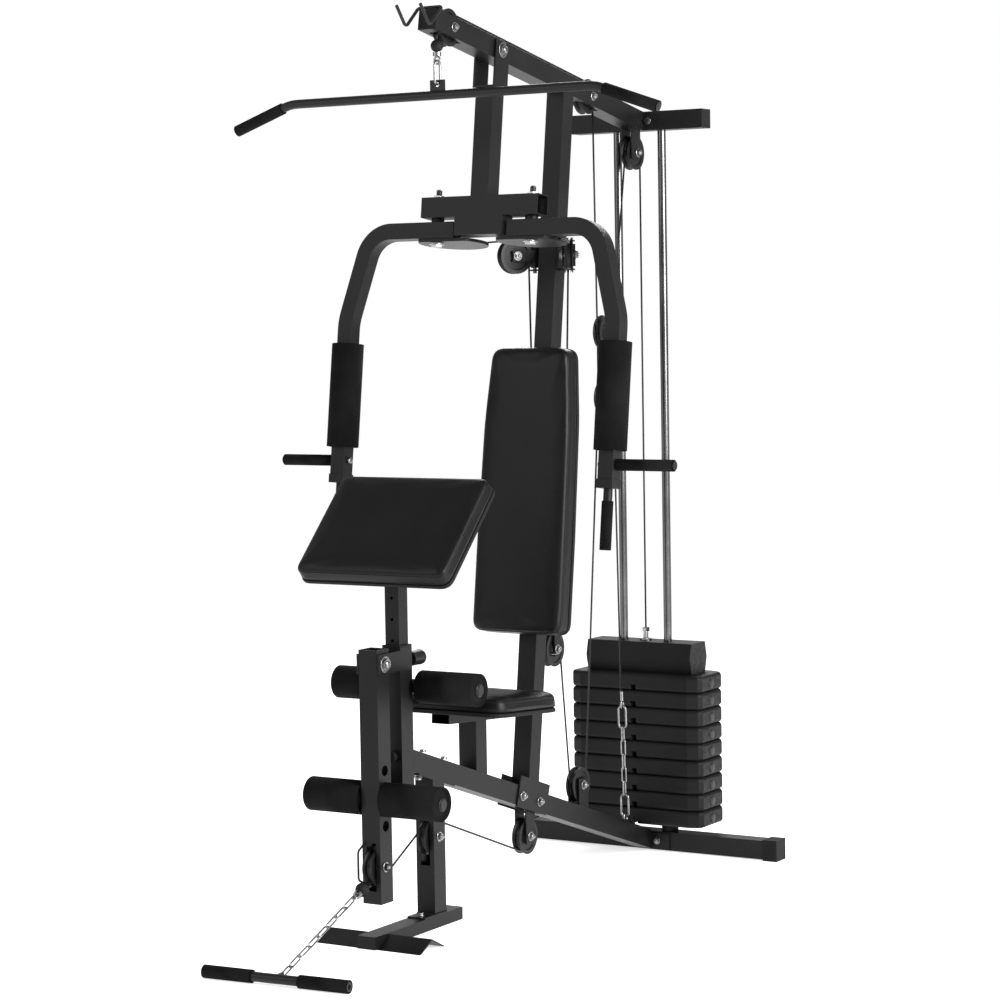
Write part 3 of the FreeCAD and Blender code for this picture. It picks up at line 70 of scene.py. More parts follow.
# ---------------------------------------------------------------- materials
def material(name, dark, light, rough, grain, bump, metallic=0.0, cells=False, patch=6.0, specular=0.5):
    """A surface with cloudy colour between two tones, uneven roughness and a fine relief."""
    made = bpy.data.materials.new(name)
    made.use_nodes = True
    nodes, links = made.node_tree.nodes, made.node_tree.links
    shader = nodes["Principled BSDF"]
    shader.inputs["Metallic"].default_value = metallic
    shader.inputs["Specular IOR Level"].default_value = specular
    place = nodes.new("ShaderNodeTexCoord")
    cloud = nodes.new("ShaderNodeTexNoise")
    cloud.inputs["Scale"].default_value = patch
    cloud.inputs["Detail"].default_value = 6.0
    ramp = nodes.new("ShaderNodeValToRGB")
    ramp.color_ramp.elements[0].position = 0.32
    ramp.color_ramp.elements[1].position = 0.70
    ramp.color_ramp.elements[0].color = (*dark, 1)
    ramp.color_ramp.elements[1].color = (*light, 1)
    spread = nodes.new("ShaderNodeMapRange")
    spread.inputs["To Min"].default_value = rough - 0.07
    spread.inputs["To Max"].default_value = rough + 0.07
    fine = nodes.new("ShaderNodeTexVoronoi" if cells else "ShaderNodeTexNoise")
    fine.inputs["Scale"].default_value = grain
    relief = nodes.new("ShaderNodeBump")
    relief.inputs["Strength"].default_value = bump
    relief.inputs["Distance"].default_value = 0.0006
    links.new(place.outputs["Object"], cloud.inputs["Vector"])
    links.new(place.outputs["Object"], fine.inputs["Vector"])
    links.new(cloud.outputs[0], ramp.inputs["Fac"])
    links.new(ramp.outputs["Color"], shader.inputs["Base Color"])
    links.new(cloud.outputs[0], spread.inputs["Value"])
    links.new(spread.outputs["Result"], shader.inputs["Roughness"])
    links.new(fine.outputs[0], relief.inputs["Height"])
    links.new(relief.outputs["Normal"], shader.inputs["Normal"])
    return made


def grey(value):
    return (value, value, value)


PAINT = material("powder_coat", grey(0.0045), grey(0.0080), 0.40, 1100, 0.30, specular=0.20)
WIRE_PAINT = material("wire_paint", grey(0.006), grey(0.010), 0.36, 1500, 0.12, specular=0.24)
CHROME = material("chrome", grey(0.26), grey(0.40), 0.18, 500, 0.03, metallic=1.0)
ROD_CHROME = material("rod_chrome", grey(0.10), grey(0.17), 0.20, 500, 0.03, metallic=1.0)
ZINC = material("zinc", grey(0.22), grey(0.38), 0.30, 900, 0.10, metallic=1.0, patch=40)
RUBBER = material("rubber", grey(0.005), grey(0.009), 0.62, 1300, 0.18, specular=0.18)
VINYL = material("vinyl", grey(0.0030), grey(0.0050), 0.38, 620, 0.30, cells=True, patch=9, specular=0.19)
FOAM = material("foam", grey(0.0035), grey(0.0070), 0.92, 1000, 0.75, cells=True, patch=20, specular=0.12)
SHELL = material("plate_shell", grey(0.0040), grey(0.0075), 0.48, 850, 0.25, specular=0.16)
BOSS = material("plate_boss", grey(0.010), grey(0.020), 0.42, 700, 0.40, specular=0.30, patch=60)
CASTING = material("casting", grey(0.0035), grey(0.0075), 0.58, 420, 0.60, specular=0.15)
KNOB = material("knob_plastic", grey(0.006), grey(0.010), 0.40, 1200, 0.10, specular=0.28)
JACKET = material("cable_jacket", grey(0.005), grey(0.010), 0.36, 1800, 0.10, specular=0.28)
NYLON = material("pulley_nylon", grey(0.005), grey(0.009), 0.36, 900, 0.10, specular=0.26)
ROUGH_END = material("casting_end", grey(0.0040), grey(0.0260), 0.60, 420, 0.80, specular=0.18, patch=90)
THREAD = material("thread", grey(0.007), grey(0.014), 0.70, 3000, 0.4, specular=0.2)

PAINTED = """rear_base_tube front_beam rear_beam front_post front_leg front_foot upright top_beam
top_cross_tube seat_frame press_frame left_arm right_arm leg_lever floating_bracket hanging_bracket
left_swivel right_swivel curl_post""".split()
LOOKS = {name: PAINT for name in PAINTED}
LOOKS.update(upper_roller_bar=KNOB, lever_roller_bar=KNOB, selector_rod=CHROME)
LOOKS.update(guide_rods=ROD_CHROME, bar_hook=WIRE_PAINT, lat_bar=WIRE_PAINT, low_bar=WIRE_PAINT,
             anchor_chain=ZINC, frame_bolts=ZINC, caps_and_bumpers=RUBBER, lever_ball=RUBBER,
             plates_picked=SHELL, plates_resting=SHELL, top_block=CASTING, selector_pin=KNOB, pop_pin=KNOB)
ROUNDED = {name: 0.0016 for name in PAINTED}
ROUNDED.update(caps_and_bumpers=0.0025, top_block=0.0035, frame_bolts=0.0006,
               selector_pin=0.0012, pop_pin=0.0012)


def dressed(node, finish):
    """Gives a node its finish and, where it is listed, softly rounded edges."""
    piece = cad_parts[node]
    piece.data.materials.clear()
    piece.data.materials.append(finish)
    if node in ROUNDED:
        weld = piece.modifiers.new("weld", "WELD")
        weld.merge_threshold = 0.00002
        flat = piece.modifiers.new("flat_faces", "DECIMATE")
        flat.decimate_type = "DISSOLVE"
        flat.angle_limit = math.radians(0.6)
        bevel = piece.modifiers.new("rounding", "BEVEL")
        bevel.width = ROUNDED[node]
        bevel.segments = 2
        bevel.limit_method = "ANGLE"
        bevel.angle_limit = math.radians(40)
        bevel.use_clamp_overlap = True
        piece.modifiers.new("shading", "WEIGHTED_NORMAL")


def islands(data):
    """The separate solids of a mesh, as lists of vertex numbers; vertices in one place count as one."""
    spots = {}
    group = []
    for vertex in data.vertices:
        key = tuple(round(value, 5) for value in vertex.co)
        group.append(spots.setdefault(key, vertex.index))
    parent = list(range(len(group)))

    def root(item):
        while parent[item] != item:
            parent[item] = parent[parent[item]]
            item = parent[item]
        return item

    for edge in data.edges:
        first, second = root(group[edge.vertices[0]]), root(group[edge.vertices[1]])
        parent[first] = second
    found = {}
    for index, spot in enumerate(group):
        found.setdefault(root(spot), []).append(index)
    return list(found.values())


def bright_parts(node, finish, keep_first):
    """Gives a second finish to the solids of a node that keep_first doesn't choose."""
    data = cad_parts[node].data
    data.materials.append(finish)
    bright = set()
    for island in islands(data):
        points = [data.vertices[index].co for index in island]
        if not keep_first(points):
            bright.update(island)
    for face in data.polygons:
        if face.vertices[0] in bright:
            face.material_index = 1


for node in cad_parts:
    if node.startswith("pulley"):
        dressed(node, NYLON)
    elif node in LOOKS:
        dressed(node, LOOKS[node])


def is_long(points):
    """True for a pull bar itself, false for the chain and rings on it."""
    return max(point.x for point in points) - min(point.x for point in points) > 0.2


# Of the lever's ball node, only the rubber ball reaches behind this; the cup and eye are metal
BALL_BACK_Y = -0.535
bright_parts("lat_bar", ZINC, is_long)
bright_parts("low_bar", ZINC, is_long)
bright_parts("lever_ball", ZINC, lambda points: max(point.y for point in points) > BALL_BACK_Y)
for bracket in ("floating_bracket", "hanging_bracket", "left_swivel", "right_swivel", "press_frame"):
    most = max(len(island) for island in islands(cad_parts[bracket].data))
    bright_parts(bracket, ZINC, lambda points: len(points) == most)

# The left and right ends of the top block and the plates are rougher castings
FACES_SIDEWAYS = 0.97
for node in ("top_block", "plates_picked", "plates_resting"):
    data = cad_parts[node].data
    data.materials.append(ROUGH_END)
    for face in data.polygons:
        if abs(face.normal.x) > FACES_SIDEWAYS:
            face.material_index = 1


# ---------------------------------------------------------------- mesh helpers
def piece_of(name, made, finish, body=None, smooth=True):
    """A new object from a bmesh, with its finish, riding on a body."""
    data = bpy.data.meshes.new(name)
    made.normal_update()
    made.to_mesh(data)
    made.free()
    piece = bpy.data.objects.new(name, data)
    scene.collection.objects.link(piece)
    data.materials.append(finish)
    if smooth:
        for face in data.polygons:
            face.use_smooth = True
    if body:
        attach(piece, body)
    return piece


def ring_into(made, middle, side, across, radius, around):
    """A ring of new vertices about a point, in the plane of two directions."""
    ring = []
    for step in range(around):
        angle = math.tau * step / around
        ring.append(made.verts.new(middle + (side * math.cos(angle) + across * math.sin(angle)) * radius))
    return ring


def join_rings(made, first, second):
    """Faces between two rings with the same number of vertices."""
    count = len(first)
    for step in range(count):
        after = (step + 1) % count
        made.faces.new((first[step], first[after], second[after], second[step]))


def tube_into(made, points, radius, around=12, closed=False):
    """A round tube along the points, with flat ends unless it closes on itself."""
    count = len(points)
    rings = []
    side = None
    for index, point in enumerate(points):
        ahead = points[(index + 1) % count] if closed or index + 1 < count else point
        behind = points[index - 1] if closed or index else point
        heading = (ahead - behind).normalized()
        if side is None:
            side = heading.orthogonal().normalized()
        side = (side - heading * side.dot(heading)).normalized()
        rings.append(ring_into(made, point, side, heading.cross(side), radius, around))
    pairs = list(zip(rings, rings[1:]))
    if closed:
        pairs.append((rings[-1], rings[0]))
    for first, second in pairs:
        join_rings(made, first, second)
    if not closed:
        made.faces.new(list(reversed(rings[0])))
        made.faces.new(rings[-1])


def turned_into(made, profile, origin, axis, around=40):
    """A solid turned about an axis from (along, radius) points; it starts and ends on the axis."""
    axis = Vector(axis).normalized()
    side = axis.orthogonal().normalized()
    across = axis.cross(side)
    origin = Vector(origin)
    rings = []
    for along, radius in profile:
        middle = origin + axis * along
        if radius < 1e-6:
            rings.append([made.verts.new(middle)])
        else:
            rings.append(ring_into(made, middle, side, across, radius, around))
    for first, second in zip(rings, rings[1:]):
        for step in range(around):
            after = (step + 1) % around
            corners = [first[step % len(first)], first[after % len(first)],
                       second[after % len(second)], second[step % len(second)]]
            made.faces.new(list(dict.fromkeys(corners)))


def roll_profile(length, radius, corner, steps=5):
    """Profile of a foam roll; each end has a shallow ring-shaped hollow inside its rim."""
    start = [(0.0, 0.0), (0.0, radius * 0.42)]
    for step in range(steps + 1):
        depth = corner * (1 - math.sin(math.pi / 2 * step / steps))
        start.append((depth, radius - depth))
    mirrored = [(length - along, reach) for along, reach in reversed(start)]
    return start + mirrored


# ---------------------------------------------------------------- foam rolls and grips
def roll(name, start, finish, radius, body, replaced, corner):
    """A foam roll or grip from one point to another."""
    made = bmesh.new()
    turned_into(made, roll_profile((finish - start).length, radius, corner), start, finish - start, around=48)
    piece = piece_of(name, made, FOAM, body)
    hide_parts(replaced)


def middle_of(node):
    """The middle of a node's box."""
    low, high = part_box(node)
    return (low + high) / 2


def disc(name, centre, axis, radius, thick, finish, body):
    """A thin cap with a soft rim and a small dome."""
    made = bmesh.new()
    profile = [(0, 0), (0, radius * 0.96), (thick * 0.3, radius), (thick * 0.75, radius * 0.95),
               (thick, radius * 0.82), (thick * 1.08, radius * 0.4), (thick * 1.1, 0)]
    turned_into(made, profile, centre, axis, around=36)
    piece_of(name, made, finish, body)


# Foam rolls of the leg station, in pairs on their bars
for node, body, gap in (("upper_foam", "frame", 0.038), ("lever_foam", "leg_developer", 0.028)):
    low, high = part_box(node)
    centre = (low + high) / 2
    radius = (high.z - low.z) / 2
    for side, word in ((-1, "left"), (1, "right")):
        inner = Vector((side * gap, centre.y, centre.z))
        outer = Vector((side * high.x, centre.y, centre.z))
        roll(f"{node}_{word}", inner, outer, radius, body, node, corner=0.009)
        cap = outer - Vector((side * 0.0006, 0, 0))
        disc(f"{node}_{word}_end", cap, (side, 0, 0), 0.0165, 0.004, KNOB, body)

# Grips of the press arms: a sleeve on the tube, a side grip and a grip that hangs below
LEAN = math.radians(7.463)
lean_up = Vector((0, math.sin(LEAN), math.cos(LEAN)))
ARM_X, HANDLE_NUT_X, SIDE_GRIP_X = 0.382, 0.3606, 0.404
SLEEVE_RADIUS, SLEEVE_LENGTH = 0.040, 0.257
GRIP_RADIUS, GRIP_CORNER, GRIP_CAP = 0.014, 0.003, 0.0105
SIDE_GRIP_DROP, SIDE_GRIP_LENGTH = 0.0342, 0.150
DOWN_GRIP_DROP, DOWN_GRIP_LENGTH = 0.236, 0.116
for side, word in ((-1, "left"), (1, "right")):
    node = f"{word}_arm_foam"
    body = f"{word}_press_arm"
    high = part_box(node)[1]
    top_centre = Vector((side * ARM_X, high.y - SLEEVE_RADIUS * math.cos(LEAN),
                         high.z - SLEEVE_RADIUS * math.sin(LEAN)))
    sleeve_low = top_centre - lean_up * SLEEVE_LENGTH
    roll(f"{word}_arm_sleeve", sleeve_low, top_centre, SLEEVE_RADIUS, body, node, corner=0.005)
    grip_low = top_centre - lean_up * (SLEEVE_LENGTH + DOWN_GRIP_DROP)
    grip_high = grip_low + lean_up * DOWN_GRIP_LENGTH
    roll(f"{word}_down_grip", grip_low, grip_high, GRIP_RADIUS, body, node, GRIP_CORNER)
    handle = top_centre - lean_up * (SLEEVE_LENGTH + SIDE_GRIP_DROP)
    nut = Vector((side * HANDLE_NUT_X, handle.y, handle.z))
    disc(f"{word}_handle_nut", nut, (-side, 0, 0), 0.0085, 0.007, ZINC, body)
    start = Vector((side * SIDE_GRIP_X, handle.y, handle.z))
    finish = start + Vector((side * SIDE_GRIP_LENGTH, 0, 0))
    roll(f"{word}_side_grip", start, finish, GRIP_RADIUS, body, node, GRIP_CORNER)
    cap = finish - Vector((side * 0.0005, 0, 0))
    disc(f"{word}_side_grip_end", cap, (side, 0, 0), GRIP_CAP, 0.003, KNOB, body)

# Grips of the lat bar, on its bent ends
LAT_Y, LAT_Z = middle_of("lat_bar").y, 1.974
LAT_TIP_X, LAT_DROP, LAT_RUN = 0.590, 0.057, 0.164
LAT_GRIP_LENGTH, LAT_BALL_RISE = 0.148, 0.116
LAT_SLOPE = math.atan2(LAT_DROP, LAT_RUN)
for side, word in ((-1, "left"), (1, "right")):
    along = Vector((side * math.cos(LAT_SLOPE), 0, -math.sin(LAT_SLOPE)))
    tip = Vector((side * LAT_TIP_X, LAT_Y, LAT_Z - LAT_DROP))
    inner = tip - along * LAT_GRIP_LENGTH
    roll(f"lat_grip_{word}", inner, tip, GRIP_RADIUS, "lat_pull_bar", "lat_grips", GRIP_CORNER)
    cap = tip - along * 0.0004
    disc(f"lat_grip_{word}_end", cap, along, GRIP_CAP, 0.0022, KNOB, "lat_pull_bar")

# Grips of the low bar, which lies on the floor at a small angle
LOW_RADIUS, LOW_TIP, LOW_INNER = 0.015, 0.1855, 0.0605
LOW_TURN = math.radians(4.0)
low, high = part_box("low_grips")
bar_middle = Vector(((low.x + high.x) / 2, (low.y + high.y) / 2, LOW_RADIUS))
bar_along = Vector((math.cos(LOW_TURN), math.sin(LOW_TURN), 0))
for side, word in ((-1, "left"), (1, "right")):
    tip = bar_middle + bar_along * side * LOW_TIP
    inner = bar_middle + bar_along * side * LOW_INNER
    roll(f"low_grip_{word}", inner, tip, LOW_RADIUS, "low_pull_bar", "low_grips", GRIP_CORNER)


def ball_piece(name, centre, axis, body, replaced, radius=0.015, steps=24):
    """The rubber ball that stops a cable, with a moulding line round its middle."""
    made = bmesh.new()
    profile = [(-radius, 0)]
    for step in range(1, steps):
        angle = math.pi * step / steps
        bulge = 0.0004 if step == steps // 2 else 0
        profile.append((-radius * math.cos(angle), radius * math.sin(angle) + bulge))
    profile.append((radius, 0))
    turned_into(made, profile, centre, axis, around=40)
    piece = piece_of(name, made, RUBBER, body)
    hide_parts(replaced)


ball_piece("lat_ball", (0, LAT_Y, LAT_Z + LAT_BALL_RISE), (0, 0, 1), "lat_pull_bar", "lat_grips")


# ---------------------------------------------------------------- cushions
def outline_points(corners, radius, steps=6):
    """A closed outline with each corner rounded."""
    points = []
    count = len(corners)
    for index, corner in enumerate(corners):
        corner = Vector(corner)
        before = Vector(corners[index - 1]) - corner
        after = Vector(corners[(index + 1) % count]) - corner
        reach = min(radius, before.length * 0.45, after.length * 0.45)
        start = corner + before.normalized() * reach
        finish = corner + after.normalized() * reach
        for step in range(steps + 1):
            t = step / steps
            points.append(start * (1 - t) ** 2 + corner * 2 * t * (1 - t) + finish * t ** 2)
    return points


def inset(points, amount):
    """The outline moved inwards by an amount; the outline runs anticlockwise."""
    moved = []
    for index, point in enumerate(points):
        tangent = (points[(index + 1) % len(points)] - points[index - 1]).normalized()
        moved.append(point + Vector((-tangent.y, tangent.x)) * amount)
    return moved


def slab(outline, levels):
    """A closed slab through outlines at several heights, each pulled inwards by its own amount."""
    made = bmesh.new()
    rings = []
    for height, pulled in levels:
        rings.append([made.verts.new((*point, height)) for point in inset(outline, pulled)])
    for first, second in zip(rings, rings[1:]):
        join_rings(made, first, second)
    made.faces.new(list(reversed(rings[0])))
    made.faces.new(rings[-1])
    return made


def put(piece, place, body):
    """Moves a piece's vertices from a pad's own plane to their place, on a body."""
    piece.matrix_world = place
    piece.data.transform(piece.matrix_world)
    piece.matrix_world = Matrix.Identity(4)
    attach(piece, body)


def cushion(name, corners, corner_radius, thick, place, body, node, crown, cap, slack=0.0025):
    """A foam pad under vinyl on a board: the cover is blown up by cloth simulation from a smaller slab,
    then gets a sewn welt round its face and a flat backing board."""
    outline = outline_points(corners, corner_radius)
    board = 0.010
    levels = [(board, slack), (board + 0.008, slack * 0.4), (thick - 0.013, slack * 0.4),
              (thick - 0.0045, slack + 0.002), (thick - crown, slack + 0.010)]
    piece = piece_of(name, slab(outline, levels), VINYL)
    remesh = piece.modifiers.new("voxels", "REMESH")
    remesh.mode = "VOXEL"
    remesh.voxel_size = 0.0055
    remesh.use_smooth_shade = True
    apply_modifiers(piece)
    rest = [vertex.co.copy() for vertex in piece.data.vertices]
    blow_up(piece, board)
    for vertex, home in zip(piece.data.vertices, rest):
        moved = vertex.co - home
        if moved.length > cap:
            vertex.co = home + moved * (cap / moved.length)
        vertex.co.z = min(vertex.co.z, thick + 0.004)
    smooth = piece.modifiers.new("relax", "SMOOTH")
    smooth.factor = 0.5
    smooth.iterations = 9
    finer = piece.modifiers.new("finer", "SUBSURF")
    finer.levels = finer.render_levels = 1
    apply_modifiers(piece)
    for face in piece.data.polygons:
        face.use_smooth = True
    put(piece, place, body)
    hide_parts(node)

    made = bmesh.new()
    side_at = side_finder(piece, place)
    for height, radius in ((thick - 0.0125, 0.0017), (board + 0.005, 0.0014)):
        tube_into(made, side_at(outline, height, radius * 0.25), radius, around=10, closed=True)
    put(piece_of(f"{name}_welt", made, VINYL), place, body)
    stitches = stitching(inset(outline, 0.0075), surface_height(piece, place, thick))
    put(piece_of(f"{name}_stitching", stitches, THREAD), place, body)
    board_levels = [(0.0, 0.0025), (0.0015, 0.0), (board - 0.0015, 0.0), (board, 0.0015)]
    backing = piece_of(f"{name}_board", slab(inset(outline, 0.002), board_levels), RUBBER, smooth=False)
    put(backing, place, body)


def stitching(stitch_line, height_at, pitch=0.0060, stitch=0.0038):
    """Short stitches along a closed line on a cushion's face."""
    made = bmesh.new()
    count = len(stitch_line)
    lengths = [(stitch_line[(index + 1) % count] - point).length for index, point in enumerate(stitch_line)]
    total = sum(lengths)
    position = 0.0
    walked = 0.0
    index = 0
    while position < total - pitch:
        while walked + lengths[index] < position:
            walked += lengths[index]
            index += 1
        t = (position - walked) / lengths[index]
        start = stitch_line[index].lerp(stitch_line[(index + 1) % count], t)
        heading = (stitch_line[(index + 1) % count] - stitch_line[index]).normalized()
        finish = start + heading * stitch
        z_start, z_finish = height_at(start), height_at(finish)
        lift = 0.0002
        rising = Vector((*start.lerp(finish, 0.25), z_start + lift))
        falling = Vector((*start.lerp(finish, 0.75), z_finish + lift))
        thread = [Vector((*start, z_start - 0.0006)), rising, falling, Vector((*finish, z_finish - 0.0006))]
        tube_into(made, thread, 0.00042, around=5)
        position += pitch
    return made


def apply_modifiers(piece):
    """Makes a piece's modifiers part of its mesh."""
    graph = bpy.context.evaluated_depsgraph_get()
    made = bpy.data.meshes.new_from_object(piece.evaluated_get(graph))
    piece.modifiers.clear()
    old = piece.data
    piece.data = made
    bpy.data.meshes.remove(old)


def tree_of(piece, place):
    """A cushion's surface for ray casts, in the pad's own plane."""
    made = bmesh.new()
    made.from_mesh(piece.data)
    made.transform(place.inverted())
    tree = BVHTree.FromBMesh(made)
    made.free()
    return tree


def side_finder(piece, place):
    """Finds a line round a cushion's side, at one height of its own plane."""
    tree = tree_of(piece, place)

    def line(outline, height, depth):
        outer, inner = inset(outline, -0.03), inset(outline, 0.02)
        found = []
        for far, near in zip(outer, inner):
            start, finish = Vector((*far, height)), Vector((*near, height))
            heading = (finish - start).normalized()
            hit = tree.ray_cast(start, heading)[0]
            found.append((hit or finish) + heading * depth)
        return found

    return line


def surface_height(piece, place, fallback):
    """The height of a cushion's face over a point of its own plane."""
    tree = tree_of(piece, place)

    def height(point):
        hit = tree.ray_cast(Vector((point.x, point.y, fallback + 0.05)), Vector((0, 0, -1)))
        return hit[0].z if hit[0] else fallback

    return height


def blow_up(piece, board, frames=20):
    """Blows the cover up with cloth simulation while its lowest vertices stay on the board."""
    pinned = piece.vertex_groups.new(name="board")
    low = [vertex.index for vertex in piece.data.vertices if vertex.co.z < board + 0.004]
    pinned.add(low, 1.0, "REPLACE")
    cloth = piece.modifiers.new("cover", "CLOTH")
    settings = cloth.settings
    settings.quality = 6
    settings.mass = 0.25
    settings.tension_stiffness = settings.compression_stiffness = 18
    settings.shear_stiffness = 10
    settings.bending_stiffness = 1.2
    settings.use_pressure = True
    settings.uniform_pressure_force = 4
    settings.vertex_group_mass = "board"
    settings.effector_weights.gravity = 0
    cloth.collision_settings.use_collision = False
    cloth.point_cache.frame_start = 1
    cloth.point_cache.frame_end = frames
    for frame_number in range(1, frames + 1):
        scene.frame_set(frame_number)
    apply_modifiers(piece)
    scene.frame_set(1)


UPRIGHT_FOOT_Y = 0.1581


def leaning(x, y, z):
    """A point in metres from its place across and along the leaning upright, measured from the foot."""
    return Vector((x, UPRIGHT_FOOT_Y + y * math.cos(LEAN) + z * math.sin(LEAN),
                   z * math.cos(LEAN) - y * math.sin(LEAN)))


def frame_of(origin, across, along, out):
    """A place made of an origin and three directions."""
    made = Matrix((across, along, out)).transposed().to_4x4()
    made.translation = origin
    return made


# Back pad: its plane leans with the upright and faces the front
front = Vector((0, -math.cos(LEAN), math.sin(LEAN)))
BACK_BOARD_Y, BACK_START = -0.0373, 0.651
BACK_SIDE = [(0.133, 0.0), (0.133, 0.240), (0.128, 0.536), (0.114, 0.722)]
back_place = frame_of(leaning(0, BACK_BOARD_Y, BACK_START), Vector((1, 0, 0)), lean_up, front)
back_outline = BACK_SIDE + [(-x, z) for x, z in reversed(BACK_SIDE)]
cushion("back_cushion", back_outline, 0.034, 0.058, back_place, "frame", "back_pad",
        crown=0.001, cap=0.0035)

# Seat pad on the seat bar
SEAT_SLOPE = math.radians(-4.0)
seat_up = Vector((0, -math.sin(SEAT_SLOPE), math.cos(SEAT_SLOPE)))
seat_along = Vector((0, math.cos(SEAT_SLOPE), math.sin(SEAT_SLOPE)))
SEAT_BAR_START = Vector((0, -0.198, 0.4787))
SEAT_OVERHANG, SEAT_LIFT = 0.027, 0.0253
seat_origin = SEAT_BAR_START - seat_along * SEAT_OVERHANG + seat_up * SEAT_LIFT
seat_place = frame_of(seat_origin, Vector((1, 0, 0)), seat_along, seat_up)
seat_outline = [(-0.188, -0.004), (0.188, -0.004), (0.188, 0.284), (-0.188, 0.284)]
cushion("seat_cushion", seat_outline, 0.045, 0.048, seat_place, "frame", "seat_pad",
        crown=0.001, cap=0.0035)

# Arm curl pad, tilted by 45 degrees
curl_up = Vector((0, -1, 1)).normalized()
curl_along = Vector((0, 1, 1)).normalized()
CURL_TOP = Vector((0, -0.293, 1.080))
CURL_THICK, CURL_LENGTH = 0.050, 0.295
curl_origin = CURL_TOP - curl_up * CURL_THICK - curl_along * CURL_LENGTH
curl_place = frame_of(curl_origin, Vector((1, 0, 0)), curl_along, curl_up)
curl_outline = [(-0.210, -0.006), (0.210, -0.006), (0.210, 0.302), (-0.210, 0.302)]
cushion("curl_cushion", curl_outline, 0.030, CURL_THICK, curl_place, "arm_curl", "curl_pad",
        crown=0.001, cap=0.0030)


# ---------------------------------------------------------------- cables
# Radius of a cable's line round a pulley, radius of a cable, and the distance between a run's points
TURN = 0.040
CABLE = 0.0025
RUN_STEP = 0.02


def straight(first, second):
    """Points along a straight run."""
    count = max(2, int((second - first).length / RUN_STEP))
    return [first.lerp(second, step / count) for step in range(count + 1)]


def pulley_stop(node, way):
    """A pulley as a stop of a belt; way is +1 or -1 for the direction in which the cable turns round it."""
    centre = middle_of(node)
    return (centre.y, centre.z, TURN, way)


def belt(stops):
    """Straight runs and arcs round pulleys in the plane X = 0: lists of points, run, arc, run and so on."""
    runs = []
    for (y0, z0, r0, way0), (y1, z1, r1, way1) in zip(stops, stops[1:]):
        dy, dz = y1 - y0, z1 - z0
        angle = math.atan2(dz, dy) - math.asin((way1 * r1 - way0 * r0) / math.hypot(dy, dz))
        side = Vector((0, -math.sin(angle), math.cos(angle)))
        runs.append((Vector((0, y0, z0)) - side * way0 * r0, Vector((0, y1, z1)) - side * way1 * r1))
    parts = []
    for index, (first, second) in enumerate(runs):
        parts.append(straight(first, second))
        if index + 1 == len(runs):
            break
        y, z, radius, way = stops[index + 1]
        after = runs[index + 1][0]
        begin = math.atan2(second.z - z, second.y - y)
        finish = math.atan2(after.z - z, after.y - y)
        sweep = (finish - begin) % math.tau if way > 0 else -((begin - finish) % math.tau)
        steps = max(3, int(abs(sweep) * 8))
        arc = [Vector((0, y + math.cos(begin + sweep * step / steps) * radius,
                       z + math.sin(begin + sweep * step / steps) * radius)) for step in range(steps + 1)]
        parts.append(arc)
    return parts


def strand(name, points, replaced, ends):
    """One stretch of cable. ends is one body, or two for a taut straight stretch between them."""
    made = bmesh.new()
    if len(ends) == 2:
        points = [points[0], points[-1]]
    tube_into(made, points, CABLE, around=10)
    piece = piece_of(name, made, JACKET)
    if len(ends) == 1:
        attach(piece, ends[0])
    else:
        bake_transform(piece)
    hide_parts(replaced)


upper_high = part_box("upper_cable")[1]
lat_end = (LAT_Y, LAT_Z + LAT_BALL_RISE, 0, 1)
stack_top = (upper_high.y - CABLE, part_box("selector_rod")[1].z, 0, 1)
upper = belt([lat_end, pulley_stop("pulley_front_top", -1), pulley_stop("pulley_rear_top", -1),
              pulley_stop("pulley_float_upper", 1), pulley_stop("pulley_stack", -1), stack_top])
UPPER_BODIES = [("lat_pull_bar", "frame"), ("frame",), ("frame",), ("frame",), ("frame", "floating_body"),
                ("floating_body",), ("floating_body", "frame"), ("frame",), ("frame", "carriage")]
for index, (points, ends) in enumerate(zip(upper, UPPER_BODIES), start=1):
    strand(f"upper_cable_{index}", points, "upper_cable", ends)

BALL_Y, BALL_Z = -0.542, 0.141
anchor_low, anchor_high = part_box("anchor_chain")
lower_end_y = anchor_low.y + 0.0045
lower = belt([(BALL_Y, BALL_Z, 0, 1), pulley_stop("pulley_lever", 1),
              pulley_stop("pulley_leg", -1), pulley_stop("pulley_under", 1),
              pulley_stop("pulley_hanger_lower", -1), pulley_stop("pulley_base", 1),
              pulley_stop("pulley_float_lower", -1), (lower_end_y, anchor_high.z, 0, 1)])
LOWER_BODIES = [("leg_developer",), ("leg_developer",), ("leg_developer", "frame"), ("frame",),
                ("frame",), ("frame",), ("frame", "hanging_body"), ("hanging_body",),
                ("hanging_body", "frame"), ("frame",), ("frame", "floating_body"),
                ("floating_body",), ("floating_body", "frame")]
BALL_CUP = 0.017
first, last = lower[0][0], lower[0][-1]
lower[0] = [first.lerp(last, BALL_CUP / (last - first).length), last]
for index, (points, ends) in enumerate(zip(lower, LOWER_BODIES), start=1):
    strand(f"lower_cable_{index}", points, "lower_cable", ends)


def rounded_route(points, radii):
    """Straight runs through points, with arcs of the given radii: lists of points, run and arc in turn."""
    parts = []
    start = points[0]
    for corner, after, radius in zip(points[1:-1], points[2:], radii):
        inward = (corner - start).normalized()
        outward = (after - corner).normalized()
        turn = inward.angle(outward)
        reach = radius * math.tan(turn / 2)
        entry = corner - inward * reach
        parts.append(straight(start, entry))
        towards = (outward - inward).normalized()
        centre = corner + towards * (radius / math.cos(turn / 2))
        from_centre = entry - centre
        normal = inward.cross(outward).normalized()
        steps = max(3, int(turn * 8))
        parts.append([centre + Matrix.Rotation(turn * step / steps, 3, normal) @ from_centre
                      for step in range(steps + 1)])
        start = corner + outward * reach
    parts.append(straight(start, points[-1]))
    return parts


